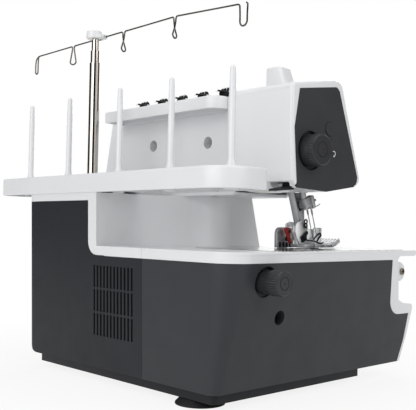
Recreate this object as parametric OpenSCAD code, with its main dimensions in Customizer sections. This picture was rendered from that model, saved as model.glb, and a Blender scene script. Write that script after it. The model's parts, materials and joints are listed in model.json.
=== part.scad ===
// Serger overlock machine: five threads, telescopic thread guide, spool stand behind the arm.
// Millimetres. X runs along the bed to the right, Y to the back, Z up. Inside the file lengths
// are counted from the foot of the left end cover (x = 0), the foot of the back (y = 0) and the
// table (z = 0); placed() then puts the origin under the middle of the whole machine.

/* [Body] */
// Width of the body between its end covers
body_w = 302; // [290:1:330]
// Depth of the body from its back to the toe of the front
toe_d = 295; // [290:1:310]
// Height of the sewing bed
bed_z = 138.8; // [136:0.1:146]
// Height of the white band round the bed
band_h = 9.8; // [8:0.1:12]
// Outward lean of the left end cover, degrees
end_lean = 10.8; // [6:0.1:12]
// Outward lean of the back, degrees
back_draft = 1.65; // [0.5:0.05:2.5]
// Radius of the back left corner at the foot
corner_foot_r = 10; // [8:1:16]
// Radius of the back left corner at the bed
corner_bed_r = 27; // [20:1:30]
// Radius of the back right corner
corner_right_r = 14; // [8:1:18]
// Rounding of the right end's lower edge
edge_r = 12; // [9:0.5:14]
// Height of the front toe
toe_z = 79; // [74:1:84]
// Depth of the front recess under the bed, behind the toe
recess_d = 31; // [28:1:34]
// Wall of the white shells
wall = 3; // [2.5:0.1:3.5]
// Thickness of the dark covers
cover_t = 2.5; // [2:0.1:2.6]
// Open seam between two covers
seam = 0.3; // [0.2:0.05:0.5]
// Distance of the back seam from the left end
seam_x = 97.5; // [90:0.5:104]

/* [Feet and base] */
// Radius of a rubber foot
foot_r = 23; // [18:0.5:24]
// Height of the rubber foot under the base plate
foot_h = 6.3; // [5:0.1:8]
// Height of the base plate's skirt
skirt_h = 8.7; // [7:0.1:10]
// Thickness of the base plate
base_t = 3; // [2:0.1:4]

/* [Rear block and column] */
// Left wall of the rear block
block_x = 172; // [166:1:178]
// Top of the rear block, where the spool stand sits
stand_z = 193.5; // [190:0.5:198]
// Height of the white strip over the dark rear cover
strip_h = 8.2; // [6:0.1:10]
// Width of the white strip beside the dark rear cover
strip_w = 14.5; // [12:0.5:18]
// Radius of the hollow sweep from the rear block to the column
sweep_r = 90; // [84:1:92]
// Left face of the column
col_x = 122; // [120:1:128]
// Rounding of the column's left back corner
col_r = 25; // [20:1:28]
// Front face of the column at the bed
col_front_y = -188; // [-192:1:-184]

/* [Arm and head] */
// Left end of the head
head_x = -10; // [-14:0.5:-6]
// Joint between head and arm
arm_x = 75; // [72:1:80]
// Back face of the head
head_back_y = -86; // [-90:0.5:-84]
// Back face of the arm
arm_back_y = -97; // [-100:0.5:-95]
// Highest point of the head
head_top_z = 308; // [306:0.5:312]
// Foremost point of the head
head_front_y = -195; // [-200:1:-193]
// Width of the right cover
right_w = 30; // [27:1:34]
// Radius of the two screw-access holes in the back of the arm
access_r = 6.4; // [5:0.1:7]

/* [Thread rail] */
// Drop of the thread rail's underside below the head's highest point
rail_drop = 28; // [25:0.5:30]
// Height of the thread rail
rail_h = 13; // [11:0.5:14]
// Back face of the thread rail
rail_back_y = -68; // [-72:0.5:-66]
// Distance of the thread rail's right end from the right cover
rail_end = 10; // [6:1:32]
// Distance between two pre-tension guides
guide_pitch = 33; // [30:0.5:35]

/* [Spool stand] */
// Left end of the spool stand
stand_x0 = -16; // [-20:0.5:-10]
// Length of the spool stand
stand_w = 386; // [380:1:392]
// Depth of the spool stand
stand_d = 56; // [52:1:60]
// Thickness of the spool stand
stand_t = 19.8; // [16:0.2:22]
// Distance of the stand's back edge behind the body's foot
stand_back_y = 7; // [5:0.5:9]
// Radius of the stand's back left corner
stand_r = 30; // [26:1:32]
// First spool pin from the stand's left end
pin_first = 21; // [18:0.5:26]
// Extra distance that leaves room for the pole
pole_gap = 12; // [10:0.5:14]
// Height of a spool pin over the stand
pin_h = 91.5; // [80:0.5:100]
// Radius of a spool pin
pin_r = 3.1; // [2.6:0.1:3.5]
// Distance of the pins' row from the stand's back edge
pin_row = 29; // [26:0.5:31]

/* [Pole and guide wire] */
// Outer radius of the lower tube
tube_r = 5.7; // [5.4:0.05:6]
// Wall of the two tubes
tube_t = 0.8; // [0.7:0.05:0.9]
// Sliding clearance between the tubes
tube_gap = 0.06; // [0.04:0.01:0.1]
// Top of the lower tube
tube_z1 = 337.3; // [330:0.1:344]
// Length of the middle tube that shows when it is pushed in
tube_show = 13.3; // [11:0.1:15]
// Radius of the cap
cap_r = 8.6; // [8:0.1:10]
// Height of the cap
cap_h = 8; // [7:0.1:9]
// Radius of the guide wire
wire_r = 0.85; // [0.7:0.05:1]
// Depth of the wire's loops
loop_h = 21.3; // [18:0.1:24]

/* [Knobs and dials] */
// Radius of the presser pressure knob
knob_r = 16; // [14:0.5:17]
// Length by which the pressure knob stands out
knob_h = 14.5; // [12:0.5:16]
// Radius of the knob on the end cover
end_knob_r = 11.7; // [10:0.1:12.5]
// Length by which the end knob stands out
end_knob_h = 22; // [18:0.5:24]
// Radius of the knobs' spindles
spindle_r = 3; // [2.5:0.1:3.5]
// Running clearance of spindles, shafts and bars
run = 0.05; // [0.03:0.01:0.08]
// Radius of a tension dial
dial_r = 31; // [29:0.5:31.5]
// Thickness of a tension dial
dial_t = 9; // [7:0.5:10]
// Distance between two tension dials
dial_pitch = 34; // [32:0.5:35]

/* [Drive] */
// Radius of the handwheel
wheel_r = 38; // [32:1:40]
// Thickness of the handwheel
wheel_t = 18; // [14:0.5:22]
// Radius of the main shaft
shaft_r = 6; // [5:0.5:7]
// Radius of the large pulley
pulley_r = 20; // [17:0.5:20.5]
// Radius of the motor pulley
motor_pulley_r = 7.5; // [6.5:0.5:8]
// Radius of the motor
motor_r = 28; // [24:1:29]

/* [Needle and foot] */
// Tilt of the needle bar and the presser bar, degrees
bar_tilt = 18.5; // [17:0.5:19]
// Radius of the needle bar
needle_bar_r = 3.2; // [2.8:0.1:3.4]
// Radius of the presser bar
presser_bar_r = 3.5; // [3:0.1:3.6]

/* [Hidden] */
$fn = 48;
white = "#e2e3e5";
dark = "#3c3d41";
dark_end = "#525356";
steel = "#b9bcc0";
black = "#17171a";
grey = "#6a6b6e";
casting = "#9a9da1";
red = "#a8322f";
skin = 0.01;                       // thin slice that a lofted form starts and ends with
past = 60;                         // how far a cutting form runs past what it cuts
joint = 0.3;                       // room between a seated piece and its seat
right_x = body_w - right_w;        // joint between the right cover and the arm
rail_z = head_top_z - rail_drop;   // underside of the thread rail
rail_x1 = right_x - rail_end;
pin_pitch = (stand_w - 2 * pin_first - pole_gap) / 4;
cover_z = foot_h + skirt_h;        // foot of the covers
band_z = bed_z - band_h;           // foot of the white band
recess_y = -(toe_d - recess_d);    // front recess under the bed
bed_front_y = -toe_d + 12;         // front edge of the bed
knob_y = -43.8;                    // knob on the end cover
knob_z = 112.5;
hole_y = -70;                      // screw-access hole in the end cover
hole_z = 78.8;
hole_r = 6.7;
end_recess_r = end_knob_r + 2.2;   // round recess that the end knob sits in
recess_cup = 5;                    // depth of the knob recesses
stand_x1 = stand_x0 + stand_w;
stand_front_y = stand_back_y - stand_d;
stand_top = stand_z + stand_t;
pin_y = stand_back_y - pin_row;
function pin_x(i) = stand_x0 + pin_first + pin_pitch * i + (i > 2 ? pole_gap : 0);
pole_x = (pin_x(2) + pin_x(3)) / 2;
tube_in_r = tube_r - tube_t;
mid_r = tube_in_r - tube_gap;
mid_in_r = mid_r - tube_t;
top_r = mid_in_r - tube_gap;
tube_z0 = stand_z + wall;
mid_top = tube_z1 + tube_show;
cap_z0 = mid_top + tube_show;
cap_top = cap_z0 + cap_h;
wire_z = cap_z0 + 2.2;
function end_x(z) = -(z - cover_z) * tan(end_lean);
function back_y(z) = (z - cover_z) * tan(back_draft);
end_face_x = end_x(knob_z);        // end face at the knob
knob_face_x = end_face_x - end_knob_h;
mid_x = (knob_face_x + stand_x1) / 2;
mid_y = (stand_back_y - toe_d) / 2;
shaft_y = -120;                    // main shaft
shaft_z = 112;
motor_y = -52;
motor_z = 60;
belt_x0 = body_w - 20;             // belt and pulleys
belt_w = 8;
press_x = 40;                      // presser bar and needle bar, in plan and at the head's foot
press_y = -144.3;
stitch_x = 34;
stitch_y = -155;
bar_ref_z = 201;
plate_x0 = -17;                    // needle plate
plate_x1 = seam_x - seam;
plate_y0 = bed_front_y + 15;
plate_y1 = -62;
plate_t = 2.4;
plate_z = bed_z + 0.4;
foot_z = plate_z + 1.3;            // sole of the presser foot
dial_x0 = 96;                      // tension dials
dial_y = -150;
dial_z = head_top_z - 47;
tension_rod_r = 4;
rim = 8;                           // white rim round the head's dark end cover
cover_x0 = 24;                     // looper cover
cover_x1 = body_w - 40;
cover_travel = 12;                 // it slides this far to the right to unlock
ears = [cover_x0 - 8, cover_x1 + cover_travel + 3];
cover_z1 = bed_z - 7.5;
hinge_y = -toe_d + 8;
hinge_z = toe_z + 4.6;
hinge_pin_r = 1.5;
bay_x0 = 14;                       // loopers' bay
bay_x1 = 130;

// ---------- helpers ----------
module placed() translate([-mid_x, -mid_y, 0]) children();
module block(p, q) translate(p) cube(q - p);
module bar_x(r, x0, x1, y, z) translate([x0, y, z]) rotate([0, 90, 0]) cylinder(r = r, h = x1 - x0);
module bar_y(r, y0, y1, x, z) translate([x, y1, z]) rotate([90, 0, 0]) cylinder(r = r, h = y1 - y0);
module bar_z(r, z0, z1, x, y) translate([x, y, z0]) cylinder(r = r, h = z1 - z0);
// Outline in (y, z) drawn out along X, in (x, z) along Y, in (x, y) along Z
module slice_x(pts, x0, x1) translate([x0, 0, 0]) rotate([90, 0, 90]) linear_extrude(x1 - x0) polygon(pts);
module slice_y(pts, y0, y1) translate([0, y1, 0]) rotate([90, 0, 0]) linear_extrude(y1 - y0) polygon(pts);
module slice_z(pts, z0, z1) translate([0, 0, z0]) linear_extrude(z1 - z0) polygon(pts);
function arc(cx, cy, r, a0, a1, n = 8) =
  [for (i = [0:n]) let (a = a0 + (a1 - a0) * i / n) [cx + r * cos(a), cy + r * sin(a)]];
// Ribbed outline of a knob or dial: n ribs of height d on a circle of radius r
function ribbed(r, n, d) =
  [for (i = [0:4 * n - 1]) let (a = 90 * i / n, q = i % 4 < 2 ? r : r - d) [q * cos(a), q * sin(a)]];
module ribbed_x(r, n, d, x0, x1, y, z)
  translate([x0, y, z]) rotate([0, 90, 0]) linear_extrude(x1 - x0) polygon(ribbed(r, n, d));
// Frame of the tilted bars: local z runs up along the bar, origin at the foot of the head
module along_bar(x, y) translate([x, y, bar_ref_z]) rotate([-bar_tilt, 0, 0]) children();

// ---------- body forms ----------
function corner_r(z) = corner_foot_r + (corner_bed_r - corner_foot_r) * (z - cover_z) / (bed_z - cover_z);
function body_outline(z, inset) = let (xl = end_x(z) + inset, xr = body_w - inset,
    yb = back_y(z) - inset, rl = corner_r(z) - inset, rr = corner_right_r - inset)
  concat(arc(xr - rr, yb - rr, rr, 0, 90), arc(xl + rl, yb - rl, rl, 90, 180, 12),
    [[xl, -toe_d - past], [xr, -toe_d - past]]);
// The body's outer form, moved inwards by inset, from z0 to z1
module body_block(inset, z0, z1) intersection() {
  hull() for (z = [z0, z1 - skin]) translate([0, 0, z]) linear_extrude(skin) polygon(body_outline(z, inset));
  slice_y(right_edge(inset, z0 - 1, z1 + 1), -toe_d - 2 * past, 2 * past);
}
// Left side and rounded lower edge of the right end, in (x, z), moved inwards by inset
function right_edge(inset, z0, z1) = z0 > cover_z + edge_r
  ? [[-2 * past, z0], [body_w + past, z0], [body_w + past, z1], [-2 * past, z1]]
  : concat([[-2 * past, z0], [body_w - edge_r, z0]],
      arc(body_w - edge_r, cover_z + edge_r, edge_r - inset, -90, 0, 6),
      [[body_w + past, cover_z + edge_r], [body_w + past, z1], [-2 * past, z1]]);
// White front: toe, recess and the strip under the bed, moved inwards by d
function white_front(d) = [
  [-toe_d + 8 + d, cover_z - (d > 0 ? past : 0)], [-toe_d + 8 + d, cover_z], [-toe_d + 2.5 + d, 44],
  [-toe_d + d, toe_z - 4 - d], [-toe_d + 3 + d, toe_z - d], [recess_y - 10, toe_z + 2 - d],
  [recess_y + d, toe_z + 6 - d], [recess_y + 7 + d, 107], [recess_y + 15 + d, band_z + (d > 0 ? past : 0)]];
// Front edge of the dark covers, moved forwards by g
lap_r = 21.5;
function dark_front(g) = concat(
  [[-toe_d + 12 - g, cover_z], [-toe_d + 7 - g, 38], [-toe_d + 6 - g, toe_z - 10 + g]],
  arc(recess_y - 5, toe_z - 10 + lap_r, lap_r - g, -90, -8),
  [[recess_y + 25 - g, band_z]]);
module dark_side(g, x0, x1)
  slice_x(concat(dark_front(g), [[past, band_z + g], [past, cover_z]]), x0, x1);

base_front_y = -toe_d + 80;
base_in = 4;                       // the base plate stands back by this much
// Plan of the base plate, moved inwards by d: its back corners follow the covers
function base_outline(d) = let (x1 = body_w - edge_r - 2 - d, r = corner_foot_r - base_in)
  concat(arc(x1 + d - r, -corner_foot_r, r - d, 0, 90), arc(corner_foot_r, -corner_foot_r, r - d, 90, 180),
    [[base_in + d, base_front_y + d], [x1, base_front_y + d]]);
module base_plate() color(dark) placed() difference() {
  slice_z(base_outline(0), foot_h, cover_z);
  slice_z(base_outline(base_t), foot_h - 1, cover_z - base_t);
}
foot_x1 = body_w - edge_r - foot_r - 9;
feet = [[40, -22], [foot_x1, -64], [66, base_front_y + foot_r + 6], [foot_x1, base_front_y + foot_r + 6]];
foot_lip = 1;
module rubber_feet() color(black) placed() for (p = feet) translate([p[0], p[1], 0]) {
  bar_z(foot_r, 0, foot_lip, 0, 0);
  translate([0, 0, foot_lip]) cylinder(r1 = foot_r, r2 = foot_r - 5, h = foot_h - joint - foot_lip);
  bar_z(foot_r - 9, foot_h - joint, cover_z - base_t, 0, 0);
}
vent_x0 = 113;
vent_n = 12;
vent_pitch = 5.67;
vent_w = 2.6;
vent_z0 = 48;
vent_h = 22.2;
vent_gap = 2.2;
tall_x = block_x + strip_w;
tall_z = stand_z - strip_h;
tall_r = 14;
// Tall part of the dark rear cover, grown by g
function tall_outline(g) = concat([[seam_x + seam / 2 - g, cover_z], [body_w + past, cover_z],
    [body_w + past, tall_z + g], [tall_x - g, tall_z + g]],
  arc(tall_x - tall_r, band_z + tall_r + g, tall_r - g, 0, -90), [[seam_x + seam / 2 - g, band_z + g]]);
inlet_y = -96;
inlet_z = 52;
inlet_w = 28;
inlet_h = 21;
switch_y = -142;
switch_w = 15;
switch_h = 21;
block_front_y = -58;
switch_out = 1.5;
module rear_cover() color(dark) placed() {
  rear_shell();
  difference() {
    block([body_w - 11, switch_y - switch_w / 2 - 2, inlet_z - switch_h / 2 - 2],
      [body_w - cover_t, switch_y + switch_w / 2 + 2, inlet_z + switch_h / 2 + 2]);
    block([body_w - 12, switch_y - switch_w / 2, inlet_z - switch_h / 2],
      [body_w, switch_y + switch_w / 2, inlet_z + switch_h / 2]);
    bar_z(switch_out + run, inlet_z - switch_h, inlet_z + switch_h, body_w - 5, switch_y);
  }
}
module rear_shell() difference() {
  intersection() {
    body_block(0, cover_z, stand_z);
    slice_y(tall_outline(0), -toe_d - past, past);
    union() {
      dark_side(-seam, 0, body_w + past);
      block([0, block_front_y, cover_z], [body_w + past, past, stand_z]);
    }
  }
  body_block(cover_t, cover_z - 1, stand_z + 1);
  for (i = [0:vent_n - 1], k = [0:2])
    block([vent_x0 + vent_pitch * i - vent_w / 2, -10, vent_z0 + k * (vent_h + vent_gap)],
      [vent_x0 + vent_pitch * i + vent_w / 2, 12, vent_z0 + k * (vent_h + vent_gap) + vent_h]);
  block([body_w - 10, inlet_y - inlet_w / 2 - run, inlet_z - inlet_h / 2 - run],
    [body_w + 5, inlet_y + inlet_w / 2 + run, inlet_z + inlet_h / 2 + run]);
  block([body_w - 10, switch_y - switch_w / 2, inlet_z - switch_h / 2],
    [body_w + 5, switch_y + switch_w / 2, inlet_z + switch_h / 2]);
  bar_x(shaft_r + 3, body_w - 10, body_w + 5, shaft_y, shaft_z);
}
module end_cover() color(dark_end) placed() difference() {
  union() {
    difference() {
      intersection() {
        body_block(0, cover_z, band_z);
        dark_side(-seam, -past, seam_x - seam / 2);
      }
      body_block(cover_t, cover_z - 1, band_z + 1);
    }
    intersection() {
      body_block(0.5, cover_z, band_z);
      union() {
        bar_x(end_recess_r + cover_t, end_face_x - past, end_face_x + recess_cup + cover_t, knob_y, knob_z);
        bar_x(hole_r + cover_t, end_face_x - past, end_x(hole_z) + 12, hole_y, hole_z);
      }
    }
  }
  bar_x(end_recess_r, end_face_x - past, end_face_x + recess_cup, knob_y, knob_z);
  bar_x(spindle_r + run, end_face_x - past, end_face_x + past, knob_y, knob_z);
  bar_x(hole_r, end_face_x - past, end_face_x + past, hole_y, hole_z);
}
front_back_y = recess_y + 64;      // how far back the white front reaches
module lower_frame() color(white) placed() {
  difference() {
    intersection() {
      body_block(0, cover_z, band_z);
      slice_x(concat(white_front(0), [[front_back_y, band_z], [front_back_y, cover_z]]), -past, body_w + past);
    }
    intersection() {
      body_block(wall, cover_z - past, band_z + past);
      slice_x(concat(white_front(wall), [[front_back_y + 10, band_z + past], [front_back_y + 10, cover_z - past]]),
        -past, body_w + past);
    }
    dark_side(0, -past, body_w + past);
    block([bay_x0, -toe_d, toe_z + 11], [bay_x1, front_back_y, band_z - 5]);
  }
  block([4, -toe_d + 9, cover_z], [body_w - edge_r, base_front_y - joint, cover_z + wall - 0.5]);
  difference() {
    for (x = ears) block([x, hinge_y - 3.5, toe_z - 1], [x + 3, hinge_y + 3.5, hinge_z + 3.5]);
    bar_x(hinge_pin_r + run, -past, body_w + past, hinge_y, hinge_z);
  }
}
rear_y = -76;                      // front edge of the rear housing's foot
column_seam_y = -140;
rod_hole = [[block_x, column_seam_y - 14], [right_x - 8, rear_y - 4]];   // way up for the inner frame
module bed_plate() color(white) placed() difference() {
  intersection() {
    body_block(0, band_z, bed_z);
    slice_x([[past, band_z], [recess_y + 15, band_z], [recess_y + 12, band_z + 3.7],
      [bed_front_y + 2, band_z + 3.7], [bed_front_y, band_z + 5.5], [bed_front_y, bed_z - 2],
      [bed_front_y + 2, bed_z], [past, bed_z]], -past, body_w + past);
  }
  intersection() {
    body_block(wall, band_z - 1, bed_z - wall);
    block([-past, recess_y + 18, 0], [body_w, past, bed_z]);
  }
  block([seam_x - seam / 2, rear_y - seam, 0], [body_w + past, past, bed_z + 1]);
  block([rod_hole[0][0], rod_hole[0][1], 0], [rod_hole[1][0], rear_y, bed_z + 1]);
  block([plate_x0 - joint / 2, plate_y0 - joint / 2, plate_z - plate_t],
    [plate_x1 + joint / 2, plate_y1 + joint / 2, bed_z + 1]);
  block([10, -226, 0], [88, -94, bed_z + 1]);
}
feed_rows = [22, 43.6, 49];
feed_w = 3.4;
module needle_plate() color(steel) placed() difference() {
  slice_z(concat(arc(plate_x1 - 5, plate_y1 - 5, 5, 0, 90), arc(plate_x0 + 3, plate_y1 - 3, 3, 90, 180),
    arc(plate_x0 + 3, plate_y0 + 3, 3, 180, 270), arc(plate_x1 - 5, plate_y0 + 5, 5, 270, 360)),
    plate_z - plate_t, plate_z);
  for (x = feed_rows) block([x, -203, 0], [x + feed_w, -151, plate_z + 1]);
  block([stitch_x - 6.5, needle_y - 4.5, 0], [stitch_x + 6.5, needle_y + 6.5, plate_z + 1]);
  block([knife_x - 1.2, -176.4, 0], [knife_x + knife_w + 1.2, -142.5, plate_z + 1]);
  block([knife_x - 4.2, -176.4, 0], [knife_x - 0.5, -159.6, plate_z + 1]);
}
knife_x = 58;
knife_w = 4;
needle_in = 5.5;                   // the needles stand this far in front of their bar's axis
// Where the needles pass the needle plate
needle_y = stitch_y - needle_in * cos(bar_tilt)
  - (bar_ref_z - plate_z + needle_in * sin(bar_tilt)) * tan(bar_tilt);
// Plan of the rear block, the hollow sweep and the column, moved inwards by d
sweep_x = block_x - sweep_r;
sweep_a = acos((col_x + col_r - sweep_x) / (sweep_r + col_r));
sweep_col_y = column_seam_y + 1;
sweep_y = sweep_col_y + (sweep_r + col_r) * sin(sweep_a);
function rear_plan(d) = concat([[block_x + d, past]], arc(sweep_x, sweep_y, sweep_r + d, 0, -sweep_a, 14),
  arc(col_x + col_r, sweep_col_y, col_r - d, 180 - sweep_a, 180, 6),
  [[col_x + d, column_seam_y + seam / 2], [right_x - seam, column_seam_y + seam / 2],
   [right_x - seam, rear_y], [body_w + past, rear_y], [body_w + past, past]]);
module rear_housing() color(white) placed() difference() {
  intersection() {
    body_block(0, band_z, stand_z);
    union() {
      block([seam_x + seam / 2, rear_y, band_z], [body_w + past, past, bed_z]);
      slice_z(rear_plan(0), bed_z, stand_z);
    }
  }
  // seat of the dark rear cover
  difference() {
    intersection() {
      slice_y(tall_outline(seam), -toe_d, past);
      block([tall_x - 2 * tall_r, block_front_y - seam, 0], [body_w + past, past, stand_z + 1]);
    }
    body_block(cover_t + seam, cover_z, stand_z + 1);
  }
  intersection() {
    body_block(2 * wall, band_z - 1, stand_z - wall);
    union() {
      block([seam_x + wall, rear_y + wall, 0], [body_w - wall, past, bed_z - wall]);
      slice_z(rear_plan(wall), 0, stand_z - wall);
    }
  }
  block([rod_hole[0][0], rod_hole[0][1], 0], [rod_hole[1][0], rod_hole[1][1], stand_z + 1]);
}
split_y = -118;                    // seam along the top of the arm
head_edge = 10;                    // rounding of the head's front edges
top_slope = atan((head_top_z - 297.8) / 61);
function front_edge() = concat(arc(head_front_y + 39, head_top_z - head_edge, head_edge, 100, 162),
  arc(head_front_y + 9, 212.5, 9, 165, 250));
function head_outline() = concat([[-140, 196.5], [head_back_y - 10, 198.5], [head_back_y - 3, 205],
  [head_back_y, 250], [head_back_y, head_top_z - 15], [head_back_y - 3, head_top_z - 10.2],
  [-150, head_top_z]], front_edge());
arm_top_z = head_top_z - 10.2 - (arm_back_y - head_back_y + 3) * tan(top_slope);
function arm_outline() = concat([[-180, stand_z], [arm_back_y, stand_z], [arm_back_y, arm_top_z],
  [-150, head_top_z]], front_edge());
// Right end of column and arm, in (x, z), moved inwards by d
function right_outline(d) = [[0, bed_z + (d > 0 ? -past : 0)], [body_w - d, bed_z + (d > 0 ? -past : 0)],
  [body_w - d, stand_z], [body_w - 4 - d, 226], [body_w - 16 - d, 284], [body_w - 19 - d, 298 - d],
  [body_w - 27 - d, head_top_z + 2 - d], [0, head_top_z + 2 - d]];
module arm_block(d, x0, x1) intersection() {
  translate([x0, 0, 0]) rotate([90, 0, 90]) linear_extrude(x1 - x0) offset(delta = -d) polygon(arm_outline());
  slice_y(right_outline(d), head_front_y - past, 0);
}
function column_front(d) = [[column_seam_y - seam / 2 + (d > 0 ? past : 0), bed_z - (d > 0 ? past : 0)],
  [col_front_y + d, bed_z - (d > 0 ? past : 0)], [col_front_y + d, bed_z], [col_front_y + 14 + d, stand_z],
  [col_front_y + 14 + d, stand_z + (d > 0 ? wall + 1 : 0)],
  [column_seam_y - seam / 2 + (d > 0 ? past : 0), stand_z + (d > 0 ? wall + 1 : 0)]];
screw_bosses = [[115.6, 249.5], [206.6, 252]];
module arm_rear_cover() color(white) placed() difference() {
  union() {
    difference() {
      arm_block(0, arm_x, right_x - seam);
      arm_block(wall, arm_x - 1, right_x + 1);
    }
    for (p = screw_bosses) bar_y(access_r + 2.5, arm_back_y - 22, arm_back_y - 1, p[0], p[1]);
  }
  block([0, head_front_y - past, 0], [body_w, split_y + seam / 2, head_top_z + past]);
  for (p = screw_bosses) {
    bar_y(access_r, arm_back_y - 18, arm_back_y + 1, p[0], p[1]);
    bar_y(2, arm_back_y - 30, arm_back_y, p[0], p[1]);
  }
  block([rod_hole[0][0], -past - 200, 0], [rod_hole[1][0], arm_back_y - wall - 1, stand_z + wall + 1]);
}
function dial_x(i) = dial_x0 + dial_pitch * i;
module front_housing() color(white) placed() difference() {
  union() {
    intersection() {
      difference() {
        arm_block(0, arm_x, right_x - seam);
        arm_block(wall, arm_x - 1, right_x + 1);
      }
      block([0, head_front_y - past, 0], [body_w, split_y - seam / 2, head_top_z + past]);
    }
    difference() {
      slice_x(column_front(0), col_x, right_x - seam);
      slice_x(column_front(wall), col_x + wall, right_x + 1);
    }
  }
  block([col_x + wall, col_front_y + 14 + wall, stand_z - wall], [right_x + 1, split_y, stand_z + wall + 1]);
  for (i = [0:4]) {
    bar_x(dial_r + 1.2, dial_x(i) - dial_t / 2 - 0.8, dial_x(i) + dial_t / 2 + 0.8, dial_y, dial_z);
    block([dial_x(i) + dial_t / 2 + 4, head_front_y - 10, 236], [dial_x(i) + dial_t / 2 + 6.5, -162, head_top_z + 5]);
  }
}
module right_cover() color(white) placed() difference() {
  union() {
    arm_block(0, right_x, body_w + 1);
    intersection() {
      slice_x([[rear_y - seam, bed_z], [col_front_y, bed_z], [col_front_y + 14, stand_z],
        [rear_y - seam, stand_z]], right_x, body_w + 1);
      slice_y(right_outline(0), head_front_y, 0);
    }
  }
  arm_block(wall, right_x - 1, body_w + 1);
  intersection() {
    slice_x([[rear_y - wall, 0], [col_front_y + wall, 0], [col_front_y + wall, bed_z],
      [col_front_y + 14 + wall, stand_z], [col_front_y + 14 + wall, stand_z + wall + 1],
      [arm_back_y - wall, stand_z + wall + 1], [arm_back_y - wall, stand_z - wall],
      [rear_y - wall, stand_z - wall]], right_x - 1, body_w);
    slice_y(right_outline(wall), head_front_y, 0);
  }
  bar_x(spindle_r + run, right_x, body_w + 5, length_y, length_z);
}
length_y = -150;                   // stitch length dial
length_z = 170;
length_r = 13;
head_foot_z = 190;                 // under the head's lowest point
lever_cut = [[-3, -114], [21, -80]];    // cut-out for the presser lifter
lamp_cut = [[40, -124], [64, -106]];    // cut-out for the lamp
module head_form(d, x0, x1)
  translate([x0, 0, 0]) rotate([90, 0, 90]) linear_extrude(x1 - x0) offset(delta = -d) polygon(head_outline());
function plate_outline() = concat([[head_back_y - 8, head_foot_z], [head_back_y - 8, 203.5],
    [head_back_y - 4, 255], [head_back_y - rim - 3, head_top_z - rim - 7.7]],
  arc(head_front_y + 43, head_top_z - rim - 7, 8, 98, 162), arc(head_front_y + 13, 212.5, 8, 165, 250),
  [[head_front_y + 10, head_foot_z]]);
module plate_form(d, x0, x1)
  translate([x0, 0, 0]) rotate([90, 0, 90]) linear_extrude(x1 - x0) offset(delta = -d) polygon(plate_outline());
module head_housing() color(white) placed() difference() {
  head_form(0, head_x, arm_x - seam);
  head_form(wall, head_x + cover_t + 2, arm_x + 1);
  plate_form(-seam, head_x - 1, head_x + cover_t);
  intersection() {
    plate_form(wall, head_x - 1, head_x + cover_t + 3);
    head_form(wall, head_x - 1, arm_x);
  }
  block([lever_cut[0][0], lever_cut[0][1], 190], [lever_cut[1][0], lever_cut[1][1], 204]);
  block([lamp_cut[0][0], lamp_cut[0][1], 190], [lamp_cut[1][0], lamp_cut[1][1], 204]);
  block([stitch_x - 9, -172, 190], [press_x + 9, -136, 206]);
}
press_knob = [-114.5, 234.8];
cap_at = [-142.8, 258.1];
knob_recess_r = knob_r + 2.7;
module head_end_plate() color(dark_end) placed() difference() {
  union() {
    intersection() {
      plate_form(0, head_x, head_x + cover_t);
      head_form(0, head_x, arm_x);
    }
    intersection() {
      bar_x(knob_recess_r + cover_t, head_x, head_x + recess_cup + cover_t, press_knob[0], press_knob[1]);
      plate_form(wall + joint, head_x, head_x + past);
    }
  }
  bar_x(knob_recess_r, head_x - 1, head_x + recess_cup, press_knob[0], press_knob[1]);
  bar_x(spindle_r + run, head_x - 1, head_x + past, press_knob[0], press_knob[1]);
  bar_x(2.5, head_x - 1, head_x + past, cap_at[0], cap_at[1]);
}

// ---------- thread rail, guides, spool stand ----------
rail_x0 = arm_x + seam;
module thread_rail() color(white) placed() difference() {
  slice_z(concat([[rail_x1, arm_back_y], [rail_x1, rail_back_y]],
    arc(rail_x0 + 16, rail_back_y - 16, 16, 90, 180), [[rail_x0, arm_back_y]]), rail_z, rail_z + rail_h);
  slice_z(concat([[rail_x1 - wall, arm_back_y + wall], [rail_x1 - wall, rail_back_y - wall]],
    arc(rail_x0 + 16, rail_back_y - 16, 16 - wall, 90, 180), [[rail_x0 + wall, arm_back_y + wall]]),
    rail_z - 1, rail_z + rail_h - wall);
}
guide_y = -90;
function guide_x(i) = rail_x0 + 7.2 + guide_pitch * i;
module rail_guides() color(grey) placed() for (i = [0:4])
  translate([guide_x(i), guide_y, rail_z + rail_h]) {
    block([-6, -5, 0], [6, 5, 1.2]);
    block([-4.5, -4, 1.2], [4.5, 3, 4.4]);
    translate([0, 0, 4.4]) rotate([-16, 0, 0]) block([-7.2, -5.5, -0.6], [8, 7, 0.7]);
    for (x = [-4, 1.6]) block([x, -3.5, 4], [x + 2, -0.5, 8.2]);
    bar_x(0.7, -6, 11, 1.5, 6.2);
    block([-4.2, -3.2, 7.4], [3.8, 1.6, 8.6]);
  }
hump_x = 29;
hump_y = -122;
hump_h = 17;
module take_up_cover() color(white) placed() difference() {
  slice_x([[hump_y - 10, head_top_z - 8], [hump_y + 9, head_top_z - 8], [hump_y + 8, head_top_z + hump_h - 3],
    [hump_y - 3, head_top_z + hump_h - 1]], hump_x, hump_x + 12);
  head_form(0, head_x, arm_x);
}
module spool_stand() color(white) placed() difference() {
  union() {
    difference() {
      slice_z(stand_outline(0), stand_z, stand_top);
      slice_z(stand_outline(wall), stand_z - 1, stand_top - wall);
    }
    for (i = [0:4]) bar_z(pin_r + 3.4, stand_z, stand_top - 1, pin_x(i), pin_y);
    bar_z(tube_r + 4, stand_z, stand_top - 1, pole_x, pin_y);
    for (i = [0, 1, 3]) let (x = (pin_x(i) + pin_x(i + 1)) / 2)
      block([x, stand_front_y + 1, stand_z], [x + 2, stand_back_y - 1, stand_top - 1]);
  }
  for (i = [0:4]) bar_z(pin_r - 0.6, stand_z + 5, stand_top + 1, pin_x(i), pin_y);
  bar_z(tube_r, tube_z0, stand_top + 1, pole_x, pin_y);
}
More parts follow.
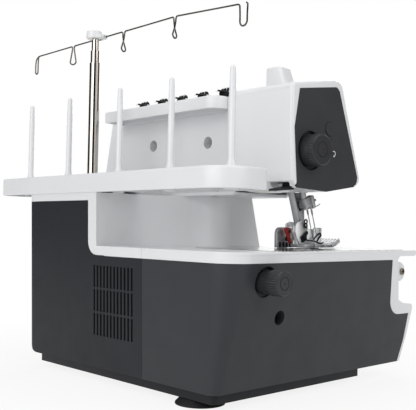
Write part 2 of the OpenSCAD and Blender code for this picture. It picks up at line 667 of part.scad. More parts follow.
function stand_outline(d) = concat(
  arc(stand_x1 - 10, stand_back_y - 10, 10 - d, 0, 90), arc(stand_x0 + stand_r, stand_back_y - stand_r, stand_r - d, 90, 180, 12),
  arc(stand_x0 + 5, stand_front_y + 5, 5 - d, 180, 270), arc(stand_x1 - 5, stand_front_y + 5, 5 - d, 270, 360));
module spool_pins() color(white) placed() for (i = [0:4]) translate([pin_x(i), pin_y, 0]) {
  bar_z(pin_r - 0.6, stand_z + 5, stand_top, 0, 0);
  rotate_extrude() polygon(concat([[0, stand_top]], [[6, stand_top], [5, stand_top + 1.6],
    [pin_r + 0.4, stand_top + 6], [pin_r, stand_top + 10], [pin_r, stand_top + pin_h - 24]],
    [for (a = [0:15:90]) [(pin_r - 0.5) * cos(a), stand_top + pin_h - pin_r + (pin_r - 0.5) * sin(a)]]));
}
module tube(r, t, z0, z1) color(steel) placed() difference() {
  bar_z(r, z0, z1, pole_x, pin_y);
  bar_z(r - t, z0 - 1, z1 + 1, pole_x, pin_y);
}
module pole_lower() tube(tube_r, tube_t, tube_z0, tube_z1);
module pole_middle() tube(mid_r, tube_t, tube_z0 + 4, mid_top);
module pole_upper() color(steel) placed() bar_z(top_r, tube_z0 + 8, cap_z0 + cap_h - wall - joint, pole_x, pin_y);
module pole_cap() color(white) placed() difference() {
  union() {
    bar_z(cap_r, cap_z0, cap_top, pole_x, pin_y);
    block([pole_x - 10, pin_y - 9.2, cap_z0], [pole_x + 3, pin_y + 1.5, cap_z0 + 4.5]);
  }
  bar_z(top_r + run, cap_z0 - 1, cap_z0 + cap_h - wall, pole_x, pin_y);
  bar_x(wire_r + run, pole_x - past, pole_x + past, pin_y + wire_off, wire_z);
}
wire_off = -(top_r + wire_r + 2.1);    // the wire passes in front of the upper tube
loop_w = 4.4;
// Loop that hangs from the bar at x and is turned by a about the vertical towards its foot
function hang(x, y, a, w, h) = let (leg = [[3.4, 0, 0], [2.2, -0.6, 0], [1.7, -2, 0.05], [2, -5, 0.2], [3, -h / 2, 0.55]])
  [for (p = concat([for (q = leg) [-q[0], q[1], q[2]]],
    [for (t = [200:20:340]) [w * cos(t), -h + w + w * sin(t), 1]], reversed(leg)))
    [x + p[0] * cos(a * p[2]), y + p[0] * sin(a * p[2]), wire_z + p[1]]];
wire_y = pin_y + wire_off;
wire_end_y = pin_y - 20.4;
// Open hook at the wire's end, s = 1 to the right and -1 to the left; its free end curls back over the top
function end_hook(x, y, s, w) = [for (p = concat([[-2.5, 0, 0], [-0.7, -0.6, 0], [0.2, -2.2, 0], [0.6, -10, 0]],
    [for (t = [180:22.5:360]) [w + 0.6 + w * cos(t), w - 21.3 + w * sin(t), 0]],
    [[2 * w + 0.6, -10, 0], [2 * w + 0.4, -3.5, -0.6], [2 * w - 0.6, -0.8, -1.6], [2 * w - 2.8, 0.8, -2.4]]))
  [x + s * p[0], y + p[2], wire_z + p[1]]];
function reversed(p) = [for (i = [len(p) - 1:-1:0]) p[i]];
wire_path = concat(reversed(end_hook(pin_x(0) + 13, wire_end_y, -1, 4.6)),
  hang(pin_x(1) + 5.5, wire_y, -70, loop_w, loop_h), hang(pin_x(2) + 5.5, wire_y, -70, loop_w, loop_h),
  [[pole_x - cap_r, wire_y, wire_z], [pole_x + cap_r, wire_y, wire_z]],
  hang(pin_x(3) + 6.5, wire_y, 20, loop_w, loop_h), end_hook(pin_x(4) + 0.5, wire_y, 1, 2.8));
function unit(v) = v / norm(v);
// Round bar of n sides swept along the points of path; no part of path runs along side
side = [cos(155), sin(155), 0];
module sweep(path, r, n) {
  last = len(path) - 1;
  rings = [for (i = [0:last]) let (
      t = unit(unit(path[min(i + 1, last)] - path[i] + (i == last ? path[i] - path[i - 1] : [0, 0, 0]))
        + unit(path[i] - path[max(i - 1, 0)] + (i == 0 ? path[1] - path[0] : [0, 0, 0]))),
      u = unit(cross(t, side)), v = cross(t, u))
    for (k = [0:n - 1]) path[i] + r * (cos(360 * k / n) * u + sin(360 * k / n) * v)];
  sides = [for (i = [0:last - 1], k = [0:n - 1])
    [i * n + k, i * n + (k + 1) % n, (i + 1) * n + (k + 1) % n, (i + 1) * n + k]];
  polyhedron(rings, concat(sides, [[for (k = [n - 1:-1:0]) k]], [[for (k = [0:n - 1]) last * n + k]]));
}
module thread_guide_wire() color(grey) placed() sweep(wire_path, wire_r, 8);

// ---------- knobs and dials ----------
module pressure_knob() color(dark) placed() {
  ribbed_x(knob_r, 30, 0.7, head_x - knob_h, head_x + recess_cup - 1, press_knob[0], press_knob[1]);
  bar_x(spindle_r, head_x - 1, head_x + recess_cup + cover_t + 5, press_knob[0], press_knob[1]);
}
module pressure_cap() color(dark) placed() {
  bar_x(6.5, head_x - 1.4, head_x, cap_at[0], cap_at[1]);
  bar_x(2.5, head_x - 0.5, head_x + cover_t, cap_at[0], cap_at[1]);
}
module end_knob() color(dark) placed() {
  ribbed_x(end_knob_r, 24, 0.6, knob_face_x, end_face_x + recess_cup - 1, knob_y, knob_z);
  bar_x(spindle_r, end_face_x, end_face_x + recess_cup + cover_t + 5, knob_y, knob_z);
}
lug_x = end_x(116) + 0.6;
lug_y = recess_y + 7;
lug_z = 116;
lug_r = 10.2;
lug_screw_y = lug_y - 3.5;
module bed_lug() color(white) placed() difference() {
  bar_x(lug_r, lug_x, lug_x + 3.5, lug_y, lug_z);
  slice_x(concat(white_front(0), [[front_back_y, band_z], [front_back_y, cover_z]]), -past, past);
  bar_x(2, lug_x - 1, lug_x + 5, lug_screw_y, lug_z);
}
base_screws = [for (x = [104, 160, 216], y = [-30, base_front_y + 19]) [x, y]];
module body_screws() color(steel) placed() {
  bar_x(3.4, lug_x - 1.6, lug_x, lug_screw_y, lug_z);
  bar_x(2, lug_x - 0.5, lug_x + 3.5, lug_screw_y, lug_z);
  for (p = base_screws) bar_z(3.4, cover_z - base_t - 2, cover_z - base_t, p[0], p[1]);
  for (p = screw_bosses) {
    bar_y(3.4, arm_back_y - 18, arm_back_y - 15.5, p[0], p[1]);
    bar_y(2, arm_back_y - 26, arm_back_y - 17, p[0], p[1]);
  }
}
module tension_dial(i) color(dark) placed() difference() {
  ribbed_x(dial_r, 60, 0.6, dial_x(i) - dial_t / 2, dial_x(i) + dial_t / 2, dial_y, dial_z);
  bar_x(tension_rod_r + run, dial_x(i) - dial_t, dial_x(i) + dial_t, dial_y, dial_z);
}
frame_ear_x = [82, dial_x(4) + dial_t / 2 + 14];
module tension_shaft() color(steel) placed() {
  bar_x(tension_rod_r, frame_ear_x[0], frame_ear_x[1] + 6, dial_y, dial_z);
  for (i = [0:4], k = [0, 1]) bar_x(9, dial_x(i) + dial_t / 2 + 1 + 2 * k, dial_x(i) + dial_t / 2 + 2 + 2 * k, dial_y, dial_z);
}
// ---------- looper cover ----------
cover_top = cover_z1 - hinge_z;
function from_hinge(pts) = [for (p = pts) [hinge_y + p[0], hinge_z + p[1]]];
module looper_cover() color(white) placed() difference() {
  union() {
    slice_x(from_hinge([[-3, 2], [-1.4, 26.4], [1.8, 39.4], [5.5, cover_top], [12.5, cover_top],
      [18, 26.4], [20.5, 3.4], [3.5, 3.4], [2.4, 2]]), cover_x0, cover_x1);
    for (x = [cover_x0 + 8, cover_x1 - 20])
      bar_x(hinge_pin_r + 1.7, x, x + 12, hinge_y, hinge_z);
    for (x = [cover_x0 + 8, cover_x1 - 20])
      block([x, hinge_y - 1.5, hinge_z], [x + 12, hinge_y + 3, hinge_z + 4.4]);
  }
  slice_x(from_hinge([[0, 4.4], [1.4, 26.4], [4.4, 38], [6.6, cover_top - 2.6], [17, cover_top - 2.6],
    [25, 26.4], [25, 4.4]]), cover_x0 + 2.5, cover_x1 - 2.5);
  bar_x(hinge_pin_r + run, cover_x0 - 1, cover_x1 + 1, hinge_y, hinge_z);
}
module cover_hinge() color(steel) placed()
  bar_x(hinge_pin_r, cover_x0 - cover_travel - 8, cover_x1 + cover_travel + 8, hinge_y, hinge_z);
// ---------- drive ----------
module handwheel() color(dark) placed() difference() {
  union() {
    ribbed_x(wheel_r, 48, 0.7, body_w + 3, body_w + 3 + wheel_t, shaft_y, shaft_z);
    bar_x(14, body_w + 1, body_w + 3, shaft_y, shaft_z);
  }
  difference() {
    bar_x(wheel_r - 8, body_w + wheel_t - 2, body_w + 4 + wheel_t, shaft_y, shaft_z);
    bar_x(15, body_w, body_w + 2 + wheel_t, shaft_y, shaft_z);
  }
  bar_x(shaft_r, body_w, body_w + wheel_t - 3, shaft_y, shaft_z);
}
posts = [24, 132, body_w - 40];
post_w = 10;
cranks = [44, 92];
module main_shaft() color(steel) placed() {
  bar_x(shaft_r, 14, body_w + wheel_t - 3, shaft_y, shaft_z);
  for (x = cranks) bar_x(13, x, x + 8, shaft_y + 2, shaft_z);
}
module shaft_bearings() color("#b08d4a") placed() difference() {
  for (x = posts) bar_x(shaft_r + 4, x - 1, x + post_w + 1, shaft_y, shaft_z);
  bar_x(shaft_r + run, 0, body_w, shaft_y, shaft_z);
}
module main_pulley() color(dark) placed() difference() {
  union() {
    bar_x(pulley_r, belt_x0, belt_x0 + belt_w, shaft_y, shaft_z);
    for (x = [belt_x0 - 2, belt_x0 + belt_w]) bar_x(pulley_r + 3, x, x + 2, shaft_y, shaft_z);
  }
  bar_x(shaft_r, belt_x0 - 3, belt_x0 + belt_w + 3, shaft_y, shaft_z);
}
belt_t = 2;
module belt_loop(d) hull() {
  translate([shaft_y, shaft_z]) circle(r = pulley_r + joint + d);
  translate([motor_y, motor_z]) circle(r = motor_pulley_r + joint + d);
}
module drive_belt() color(black) placed()
  translate([belt_x0 + 0.5, 0, 0]) rotate([90, 0, 90]) linear_extrude(belt_w - 1)
    difference() { belt_loop(belt_t); belt_loop(0); }
motor_x1 = body_w - 40;
motor_x0 = motor_x1 - 76;
module motor() color(grey) placed() difference() {
  union() {
    bar_x(motor_r, motor_x0, motor_x1, motor_y, motor_z);
    bar_x(9, motor_x1, motor_x1 + 4, motor_y, motor_z);
  }
  bar_x(3 + run, motor_x1 - 12, motor_x1 + 5, motor_y, motor_z);
}
module motor_pulley() color(steel) placed() {
  bar_x(3, motor_x1 - 10, belt_x0 + belt_w + 2, motor_y, motor_z);
  bar_x(motor_pulley_r, belt_x0, belt_x0 + belt_w, motor_y, motor_z);
  for (x = [belt_x0 - 2, belt_x0 + belt_w]) bar_x(motor_pulley_r + 2.4, x, x + 2, motor_y, motor_z);
}
lower_pivot = [66, 84];            // looper pivots, (x, z)
upper_pivot = [82, 80];
pivot_r = 4;
lifter_at = [-108, 210];            // pivot of the presser lifter, (y, z)
lifter_r = 3.5;
module inner_frame() color(casting) placed() difference() {
  union() {
    block([20, base_front_y + 9, cover_z], [body_w - 28, -14, cover_z + 5]);
    for (x = posts) block([x, -142, cover_z], [x + post_w, -98, bed_z - wall]);
    block([rod_hole[0][0] + 4, -150, cover_z], [rod_hole[1][0] - 14, -102, 206]);
    block([26, -146, 203], [frame_ear_x[1] + 7.5, -102, 226]);
    block([20, -170, 205], [60, -124, 216]);
    block([20, -150, 205], [27, -108, 276]);
    block([20, -120, 203.5], [27, -102, 217]);
    block([20, -146, 264], [60, -108, 276]);
    for (x = frame_ear_x) block([x, -157, 226 - 10], [x + 6, -143, dial_z + 8]);
    block([motor_x0 - 6, -86, cover_z], [motor_x0, -20, motor_z + 32]);
    block([bay_x0 + 44, -162, cover_z], [92, -152, 92]);
    block([knife_x + knife_w + joint, -162, 80], [knife_x + knife_w + 4, -152, 112]);
    block([53, -184, cover_z], [57.5, -176.3, plate_z - plate_t - 1]);
    block([22, base_front_y + 1, cover_z], [30, base_front_y + 19, 118]);
    block([22, -206, 112], [52.4, base_front_y + 19, 117.7]);
  }
  for (x = posts) bar_x(shaft_r + 4, x - 1, x + post_w + 1, shaft_y, shaft_z);
  bar_x(shaft_r + 3, block_x - 22, posts[2] - 2, shaft_y, shaft_z);
  along_bar(press_x, press_y) bar_z(presser_bar_r + run, -30, 110, 0, 0);
  along_bar(stitch_x, stitch_y) bar_z(needle_bar_r + run, -30, 110, 0, 0);
  bar_x(tension_rod_r, 0, body_w, dial_y, dial_z);
  bar_x(lifter_r + run, 0, 28, lifter_at[0], lifter_at[1]);
  bar_y(pivot_r + run, -170, -140, lower_pivot[0], lower_pivot[1]);
  bar_y(pivot_r + run, -170, -140, upper_pivot[0], upper_pivot[1]);
}
// ---------- needle, foot, loopers ----------
module needle_bar() color(steel) placed() along_bar(stitch_x, stitch_y) bar_z(needle_bar_r, -22, 90, 0, 0);
module needle_clamp() color(grey) placed() along_bar(stitch_x, stitch_y) difference() {
  union() {
    block([-6, -12.5, -22.5], [6, needle_bar_r + 1, -9]);
    bar_y(2.2, -17, -12, 2.5, -16);
    for (z = [-12, -19]) bar_x(1.8, -9.5, -5, -6, z);
    for (z = [-9.5, -22]) bar_y(0.6, -24, -10, -4, z);
  }
  bar_z(needle_bar_r, -22, 0, 0, 0);
  for (x = [-2.8, 2.8]) bar_z(1, -30, -14.5, x, -needle_in);
}
module needles() color(steel) placed() along_bar(stitch_x, stitch_y) for (x = [-2.8, 2.8]) translate([x, -needle_in, 0])
  rotate_extrude() polygon([[0, -14.5], [1, -14.5], [1, -28], [0.5, -31], [0.5, -50], [0, -54]]);
module presser_bar() color(steel) placed() along_bar(press_x, press_y) bar_z(presser_bar_r, -45, 88, 0, 0);
sole_x0 = 28;
sole_x1 = 50;
module presser_foot() color(grey) placed() difference() {
  union() {
    along_bar(press_x, press_y) block([-6, -presser_bar_r - 1, -52], [6, 5.5, -38]);
    block([stitch_x + 7.5, -176, foot_z + 2.9], [sole_x1, -158, foot_z + 14]);
    slice_x([[-157, foot_z], [-203, foot_z], [-213, foot_z + 8], [-211, foot_z + 9.5],
      [-202, foot_z + 3], [-157, foot_z + 3]], sole_x0, sole_x1);
    block([sole_x0 + 3, -197, foot_z + 2], [sole_x0 + 7, -188, foot_z + 14]);
    block([sole_x1 - 8, -197, foot_z + 2], [sole_x1 - 3, -175.9, foot_z + 12]);
  }
  along_bar(press_x, press_y) bar_z(presser_bar_r, -45, 0, 0, 0);
  bar_x(1.2 + run, sole_x1 - 6, sole_x1 + 1, -160.7, foot_z + 7);
  block([stitch_x - 5, needle_y - 4, foot_z - 1], [stitch_x + 5, needle_y + 10, foot_z + 30]);
  for (x = feed_rows) block([x - 0.3, -200, foot_z - 1], [x + feed_w + 0.3, -154, foot_z + 0.4]);
}
module foot_release_lever() color(red) placed() {
  slice_x([[-163, foot_z + 4], [-158.5, foot_z + 4], [-150, foot_z + 17], [-148, foot_z + 21.5],
    [-152.5, foot_z + 22.5], [-155.5, foot_z + 19]], sole_x1 + joint, sole_x1 + joint + 2.6);
  bar_x(1.2, sole_x1 - 5, sole_x1 + joint + 1, -160.7, foot_z + 7);
}
module presser_lifter() color(dark) placed() {
  bar_x(lifter_r, 2, 26, lifter_at[0], lifter_at[1]);
  slice_x([[lifter_at[0] - 2, lifter_at[1]], [lifter_at[0] + 3, lifter_at[1] + 1], [-103, 200.5], [-84.5, 197.5],
    [-83.5, 195.2], [-104, 197.2]], 2, 16);
}
module lower_looper() color(steel) placed() {
  bar_y(pivot_r, -170.5, -152, lower_pivot[0], lower_pivot[1]);
  slice_y([[61, 80], [71, 80], [70, 112], [64, 121.5], [30, 122], [25, 120], [32, 118], [58, 116], [61, 108]], -170.5, -166.5);
}
module upper_looper() color(steel) placed() {
  bar_y(pivot_r, -192.5, -152, upper_pivot[0], upper_pivot[1]);
  slice_y([[77, 76], [87, 76], [86, 108], [76, 121], [54, 124.5], [50, 123], [56, 120], [73, 114], [77, 106]], -192.5, -188.5);
}
module feed_dogs() color(steel) placed() {
  block([feed_rows[0], -206, 118], [feed_rows[2] + feed_w, -199, 134]);
  for (x = feed_rows) {
    block([x + 0.7, -200, 130], [x + feed_w - 0.7, -156, plate_z - 0.2]);
    for (i = [0:19]) block([x + 0.7, -197.6 + 2 * i, plate_z - 0.3], [x + feed_w - 0.7, -196.6 + 2 * i, plate_z + 0.5]);
  }
}
module upper_knife() color(grey) placed() {
  difference() {
    slice_x(concat([[-172, plate_z + 0.6]], [[-172, plate_z + 21]], arc(-152, plate_z + 14, 7, 90, 0),
      [[-145, plate_z + 0.6]]), knife_x, knife_x + knife_w);
    for (y = [-168, -163, -158, -153]) block([knife_x - 1, y, 0], [knife_x + 1.2, y + 2.4, plate_z + 5]);
    bar_x(1.6, knife_x - 1, knife_x + knife_w + 1, -161, plate_z + 10);
  }
  block([knife_x, -161.7, 97], [knife_x + knife_w, -150, plate_z + 2]);
}
module lower_knife() color(steel) placed() block([knife_x - 4, -176.1, 124], [knife_x - 0.6, -160, plate_z]);
// ---------- dial, switch, inlet, lamp ----------
module stitch_length_dial() color(dark) placed() {
  ribbed_x(length_r, 24, 0.6, body_w + joint, body_w + 10, length_y, length_z);
  bar_x(spindle_r, body_w - 9, body_w + 1, length_y, length_z);
}
module power_switch() color(black) placed() {
  slice_z([[body_w - 9, switch_y - 5.5], [body_w - 9, switch_y + 5.5], [body_w + 0.8, switch_y + 5.5],
    [body_w - 0.6, switch_y], [body_w + 0.8, switch_y - 5.5]], inlet_z - 8, inlet_z + 8);
  bar_z(switch_out, inlet_z - switch_h / 2 - 1.5, inlet_z + switch_h / 2 + 1.5, body_w - 5, switch_y);
}
module power_inlet() color(black) placed() {
  difference() {
    union() {
      block([body_w - 18, inlet_y - inlet_w / 2, inlet_z - inlet_h / 2], [body_w, inlet_y + inlet_w / 2, inlet_z + inlet_h / 2]);
      block([body_w, inlet_y - inlet_w / 2 - 3, inlet_z - inlet_h / 2 - 2], [body_w + 2, inlet_y + inlet_w / 2 + 3, inlet_z + inlet_h / 2 + 2]);
    }
    block([body_w - 15, inlet_y - 11, inlet_z - 7], [body_w + 3, inlet_y + 11, inlet_z + 7]);
  }
  for (y = [-4, 4]) bar_x(1.2, body_w - 16, body_w - 4, inlet_y + y, inlet_z);
}
module led_lamp() color("#eef0e8") placed() block([lamp_cut[0][0] + joint, lamp_cut[0][1] + joint, 196.4],
  [lamp_cut[1][0] - joint, lamp_cut[1][1] - joint, 203]);

base_plate();
rubber_feet();
rear_cover();
end_cover();
lower_frame();
bed_plate();
needle_plate();
rear_housing();
arm_rear_cover();
front_housing();
right_cover();
head_housing();
head_end_plate();
thread_rail();
rail_guides();
take_up_cover();
spool_stand();
spool_pins();
pole_lower();
pole_middle();
pole_upper();
pole_cap();
thread_guide_wire();
pressure_knob();
pressure_cap();
end_knob();
bed_lug();
body_screws();
tension_dial(0);  // tension_dial_1
tension_dial(1);  // tension_dial_2
tension_dial(2);  // tension_dial_3
tension_dial(3);  // tension_dial_4
tension_dial(4);  // tension_dial_5
tension_shaft();
looper_cover();
cover_hinge();
handwheel();
main_shaft();
shaft_bearings();
main_pulley();
drive_belt();
motor();
motor_pulley();
inner_frame();
needle_bar();
needle_clamp();
needles();
presser_bar();
presser_foot();
foot_release_lever();
presser_lifter();
upper_looper();
lower_looper();
feed_dogs();
upper_knife();
lower_knife();
stitch_length_dial();
power_switch();
power_inlet();
led_lamp();
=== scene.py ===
"""Looks of a serger overlock machine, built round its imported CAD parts."""
import json
import math

import bmesh
import bpy
from mathutils import Matrix, Vector


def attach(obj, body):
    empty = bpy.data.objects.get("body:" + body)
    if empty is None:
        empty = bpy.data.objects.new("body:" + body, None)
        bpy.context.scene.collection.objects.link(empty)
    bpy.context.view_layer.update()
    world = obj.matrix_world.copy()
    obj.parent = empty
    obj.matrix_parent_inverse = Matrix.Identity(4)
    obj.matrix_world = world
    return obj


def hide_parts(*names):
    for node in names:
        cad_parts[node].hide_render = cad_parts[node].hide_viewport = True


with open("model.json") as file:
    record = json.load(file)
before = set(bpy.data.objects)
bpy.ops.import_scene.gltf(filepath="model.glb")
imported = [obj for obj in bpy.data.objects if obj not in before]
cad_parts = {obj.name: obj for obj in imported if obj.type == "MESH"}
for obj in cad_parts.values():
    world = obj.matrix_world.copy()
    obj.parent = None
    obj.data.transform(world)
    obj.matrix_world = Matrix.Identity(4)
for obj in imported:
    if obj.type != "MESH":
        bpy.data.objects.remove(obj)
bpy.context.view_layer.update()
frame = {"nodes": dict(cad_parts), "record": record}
nodes = frame["nodes"]
record = frame["record"]
body_of = {node: body for body, members in record["behaviour"]["bodies"].items() for node in members}

MM = 0.001
# Lengths are counted in millimetres from the foot of the back left corner, with x to the right,
# y to the back and z up. MIDDLE is where the row frame's origin lies.
MIDDLE = Vector((164.7, -144.0, 0.0))
LEFT, TO_RIGHT, TO_BACK, UP = (-1, 0, 0), (1, 0, 0), (0, 1, 0), (0, 0, 1)

# Body: its full width, the foot of its covers, the draft of its back and the lean of its left end
BODY_WIDTH, COVER_FOOT = 302.0, 15.0
BACK_DRAFT, END_LEAN = math.radians(1.65), math.radians(10.8)


def at(x, y, z):
    """A point given in millimetres from the back left corner, in the row frame in metres."""
    return (Vector((x, y, z)) - MIDDLE) * MM


# ---------- camera ----------
# Angles in degrees, place in the row frame in metres, lens and sensor in millimetres
CAMERA_YAW, CAMERA_PITCH, CAMERA_ROLL = (math.radians(a) for a in (43.45, 1.76, 1.05))
CAMERA_PLACE = Vector((-0.6253, 0.5907, 0.1590))
FOCAL_LENGTH, SENSOR_WIDTH = 64.73, 36

forward = Vector((math.cos(CAMERA_YAW) * math.cos(CAMERA_PITCH),
                  -math.sin(CAMERA_YAW) * math.cos(CAMERA_PITCH), math.sin(CAMERA_PITCH)))
level = forward.cross(Vector(UP)).normalized()
upright = level.cross(forward)
right = level * math.cos(CAMERA_ROLL) + upright * math.sin(CAMERA_ROLL)
up = upright * math.cos(CAMERA_ROLL) - level * math.sin(CAMERA_ROLL)
camera_data = bpy.data.cameras.new("camera")
camera_data.lens = FOCAL_LENGTH
camera_data.sensor_width = SENSOR_WIDTH
camera = bpy.data.objects.new("camera", camera_data)
camera_turn = Matrix((right, up, -forward)).transposed().to_4x4()
camera.matrix_world = Matrix.Translation(CAMERA_PLACE) @ camera_turn
bpy.context.scene.collection.objects.link(camera)
bpy.context.scene.camera = camera


# ---------- materials ----------
def linear(colour):
    """An sRGB colour such as "#e4e5e7" as linear red, green, blue and alpha."""
    parts = [int(colour[i:i + 2], 16) / 255 for i in (1, 3, 5)]
    return tuple(c / 12.92 if c <= 0.04045 else ((c + 0.055) / 1.055) ** 2.4 for c in parts) + (1.0,)


def add(tree, kind, inputs=None, **settings):
    """Adds a node, applies its settings, and gives each input a value or a link."""
    node = tree.nodes.new(kind)
    for key, value in settings.items():
        setattr(node, key, value)
    for key, value in (inputs or {}).items():
        if isinstance(value, bpy.types.NodeSocket):
            tree.links.new(value, node.inputs[key])
        else:
            node.inputs[key].default_value = value
    return node


def new_material(name):
    """An empty node material and its tree."""
    material = bpy.data.materials.new(name)
    material.use_nodes = True
    material.node_tree.nodes.clear()
    return material, material.node_tree


def shade(colour, factor):
    """A linear colour made darker or lighter."""
    return tuple(min(1.0, c * factor) for c in colour[:3]) + (1.0,)


# Patterns in millimetres: how wide a moulding's colour drifts and its handling marks are, and how long
# and deep the lines of a ground metal are
DRIFT, HANDLING, LINE_LENGTH, LINE_DEPTH = 60, 18, 30, 0.005
PLASTIC_IOR, GRAIN_STRENGTH, LINE_STRENGTH = 1.53, 0.35, 0.2
NOISE_LOW, NOISE_HIGH = 0.3, 0.7   # most of a noise lies between these
RUBBED, DULLED = 0.04, 0.05   # how much handling takes from a moulding's roughness and adds to it
METAL_SPREAD = 0.2   # share by which the roughness of a ground metal varies


def moulded_plastic(name, colour, roughness, grain_mm, grain_depth, mottle=0.03, shine=0.5):
    """Injection-moulded plastic: an even colour that drifts a little over a hand's width, a fine
    spark-eroded grain and handling marks that change the gloss."""
    material, tree = new_material(name)
    place = add(tree, "ShaderNodeTexCoord").outputs["Object"]
    drift = add(tree, "ShaderNodeTexNoise", {"Vector": place, "Scale": 1 / (DRIFT * MM), "Detail": 3.0})
    grain = add(tree, "ShaderNodeTexNoise", {"Vector": place, "Scale": 1 / (grain_mm * MM), "Detail": 2.0,
                                             "Roughness": 0.6})
    handling = add(tree, "ShaderNodeTexNoise", {"Vector": place, "Scale": 1 / (HANDLING * MM), "Detail": 5.0})
    base = linear(colour)
    tint = add(tree, "ShaderNodeMix", {"Factor": drift.outputs["Fac"], 6: shade(base, 1 - mottle),
                                       7: shade(base, 1 + mottle)}, data_type="RGBA")
    gloss = add(tree, "ShaderNodeMapRange",
                {"Value": handling.outputs["Fac"], "From Min": NOISE_LOW, "From Max": NOISE_HIGH,
                 "To Min": roughness - RUBBED, "To Max": roughness + DULLED})
    bump = add(tree, "ShaderNodeBump", {"Height": grain.outputs["Fac"], "Strength": GRAIN_STRENGTH,
                                        "Distance": grain_depth * MM})
    shader = add(tree, "ShaderNodeBsdfPrincipled",
                 {"Base Color": tint.outputs[2], "Roughness": gloss.outputs["Result"], "IOR": PLASTIC_IOR,
                  "Specular IOR Level": shine, "Normal": bump.outputs["Normal"]})
    add(tree, "ShaderNodeOutputMaterial", {"Surface": shader.outputs["BSDF"]})
    return material


def ground_metal(name, colour, roughness, line_mm, line_axis, streak=0.12):
    """Metal with fine lines of its turning, drawing or grinding along one axis ("X", "Y" or "Z")."""
    material, tree = new_material(name)
    place = add(tree, "ShaderNodeTexCoord").outputs["Object"]
    scale = [1 / ((LINE_LENGTH if axis == line_axis else line_mm) * MM) for axis in "XYZ"]
    stretched = add(tree, "ShaderNodeMapping", {"Vector": place, "Scale": scale})
    lines = add(tree, "ShaderNodeTexNoise", {"Vector": stretched.outputs["Vector"], "Scale": 1.0,
                                             "Detail": 4.0})
    base = linear(colour)
    tint = add(tree, "ShaderNodeMix", {"Factor": lines.outputs["Fac"], 6: shade(base, 1 - streak), 7: base},
               data_type="RGBA")
    gloss = add(tree, "ShaderNodeMapRange",
                {"Value": lines.outputs["Fac"], "From Min": NOISE_LOW, "From Max": NOISE_HIGH,
                 "To Min": roughness * (1 - METAL_SPREAD), "To Max": roughness * (1 + METAL_SPREAD)})
    bump = add(tree, "ShaderNodeBump", {"Height": lines.outputs["Fac"], "Strength": LINE_STRENGTH,
                                        "Distance": LINE_DEPTH * MM})
    shader = add(tree, "ShaderNodeBsdfPrincipled",
                 {"Base Color": tint.outputs[2], "Metallic": 1.0, "Roughness": gloss.outputs["Result"],
                  "Normal": bump.outputs["Normal"]})
    add(tree, "ShaderNodeOutputMaterial", {"Surface": shader.outputs["BSDF"]})
    return material


# A moulding has its colour, roughness, width and depth of grain in mm, mottle and shine; a metal has its
# colour, roughness, width of line in mm, the axis the lines run along, and streak.
# White ABS of the shells: satin and even, with a very shallow grain of 1 mm, coarser than the real one
white_abs = moulded_plastic("white_moulded_abs", "#e6e7e9", 0.34, 1.1, 0.006, 0.012)
# Charcoal ABS of the rear cover: matt, its spark-eroded grain drawn at 1 mm so that it shows
charcoal_abs = moulded_plastic("charcoal_moulded_abs", "#25262b", 0.46, 0.9, 0.05, 0.12, 0.2)
# Base plate: the same plastic with a smoother, shallower grain, so darker
base_abs = moulded_plastic("charcoal_base_abs", "#1b1c20", 0.4, 0.8, 0.02, 0.08, 0.2)
# The same plastic on the end cover, with a slightly coarser grain, its colour painted paler for the light
# that falls on the end
charcoal_abs_painted_paler = moulded_plastic("charcoal_abs_painted_paler", "#35363a", 0.5, 1.0, 0.06, 0.1, 0.25)
# Head cover and its cap: charcoal ABS with a finer grain, so a little darker
charcoal_satin_abs = moulded_plastic("charcoal_satin_abs", "#333438", 0.44, 0.8, 0.04, 0.05, 0.35)
# Knobs, dials and wheels: darker ABS with a smoother face
knob_abs = moulded_plastic("black_moulded_abs", "#2c2d30", 0.38, 0.8, 0.03, 0.06, 0.4)
# Switch, inlet and lifter: black polyamide, slightly waxy; it also gives the painted shade round the pressure
# cap
black_polyamide = moulded_plastic("black_polyamide", "#1b1b1e", 0.45, 1.2, 0.03, 0.1, 0.4)
# Feet: black rubber, dull and a little blotched
foot_rubber = moulded_plastic("black_foot_rubber", "#141416", 0.7, 1.5, 0.06, 0.25, 0.35)
# Belt: black neoprene, dull and even
belt_rubber = moulded_plastic("black_neoprene", "#1d1d1d", 0.7, 2.0, 0.06, 0.2, 0.4)
# Red lever: fairly glossy ABS
red_abs = moulded_plastic("red_moulded_abs", "#ad2f2b", 0.3, 1.2, 0.02, 0.03)
# White and grey pad-printed marks: a thin, even film of ink
white_ink = moulded_plastic("white_printed_ink", "#e9e9e6", 0.5, 0.6, 0.01, 0.02)
grey_ink = moulded_plastic("grey_printed_ink", "#54565a", 0.5, 0.6, 0.01, 0.04)
# Guide pole: chrome-plated steel tube, bright with dark reflections
chrome_tube = ground_metal("chromed_steel_tube", "#c4beb6", 0.1, 0.8, "Z", 0.12)
# Guide wire: nickel-plated spring wire that has dulled
guide_steel = ground_metal("nickelled_wire", "#5f5b56", 0.3, 0.6, "X", 0.3)
# Shafts, needles, loopers and feed dogs: ground steel, satin grey
ground_steel = ground_metal("ground_steel", "#a9abad", 0.24, 0.5, "Z")
# Needle plate: polished steel that mirrors the foot
polished_plate = ground_metal("polished_steel_plate", "#c9cbcc", 0.14, 0.7, "Y", 0.05)
# Sole, bars, clamp, bracket and upper knife: sintered steel, mid grey and dull
sintered_steel = ground_metal("sintered_steel", "#bcbdbf", 0.5, 1.0, "Z", 0.3)
# Cheeks, block and toe of the foot, and tongues of the guides: tumbled steel, its colour painted near white
# as a highlight
steel_painted_highlight = ground_metal("tumbled_steel_painted_highlight", "#f0f1f2", 0.42, 0.9, "Y", 0.12)
# Hinge, thread eyes and guides: blackened steel, dark grey with a low sheen; it also gives the painted shade
# of the knife's slots and the lug screw's recess
blackened_steel = ground_metal("blackened_steel", "#323335", 0.4, 0.9, "Y", 0.3)
# Housing screws: thinly brassed steel, grey with a yellow tinge
brass_screw = ground_metal("brassed_screw", "#8d8577", 0.35, 0.6, "Y", 0.2)
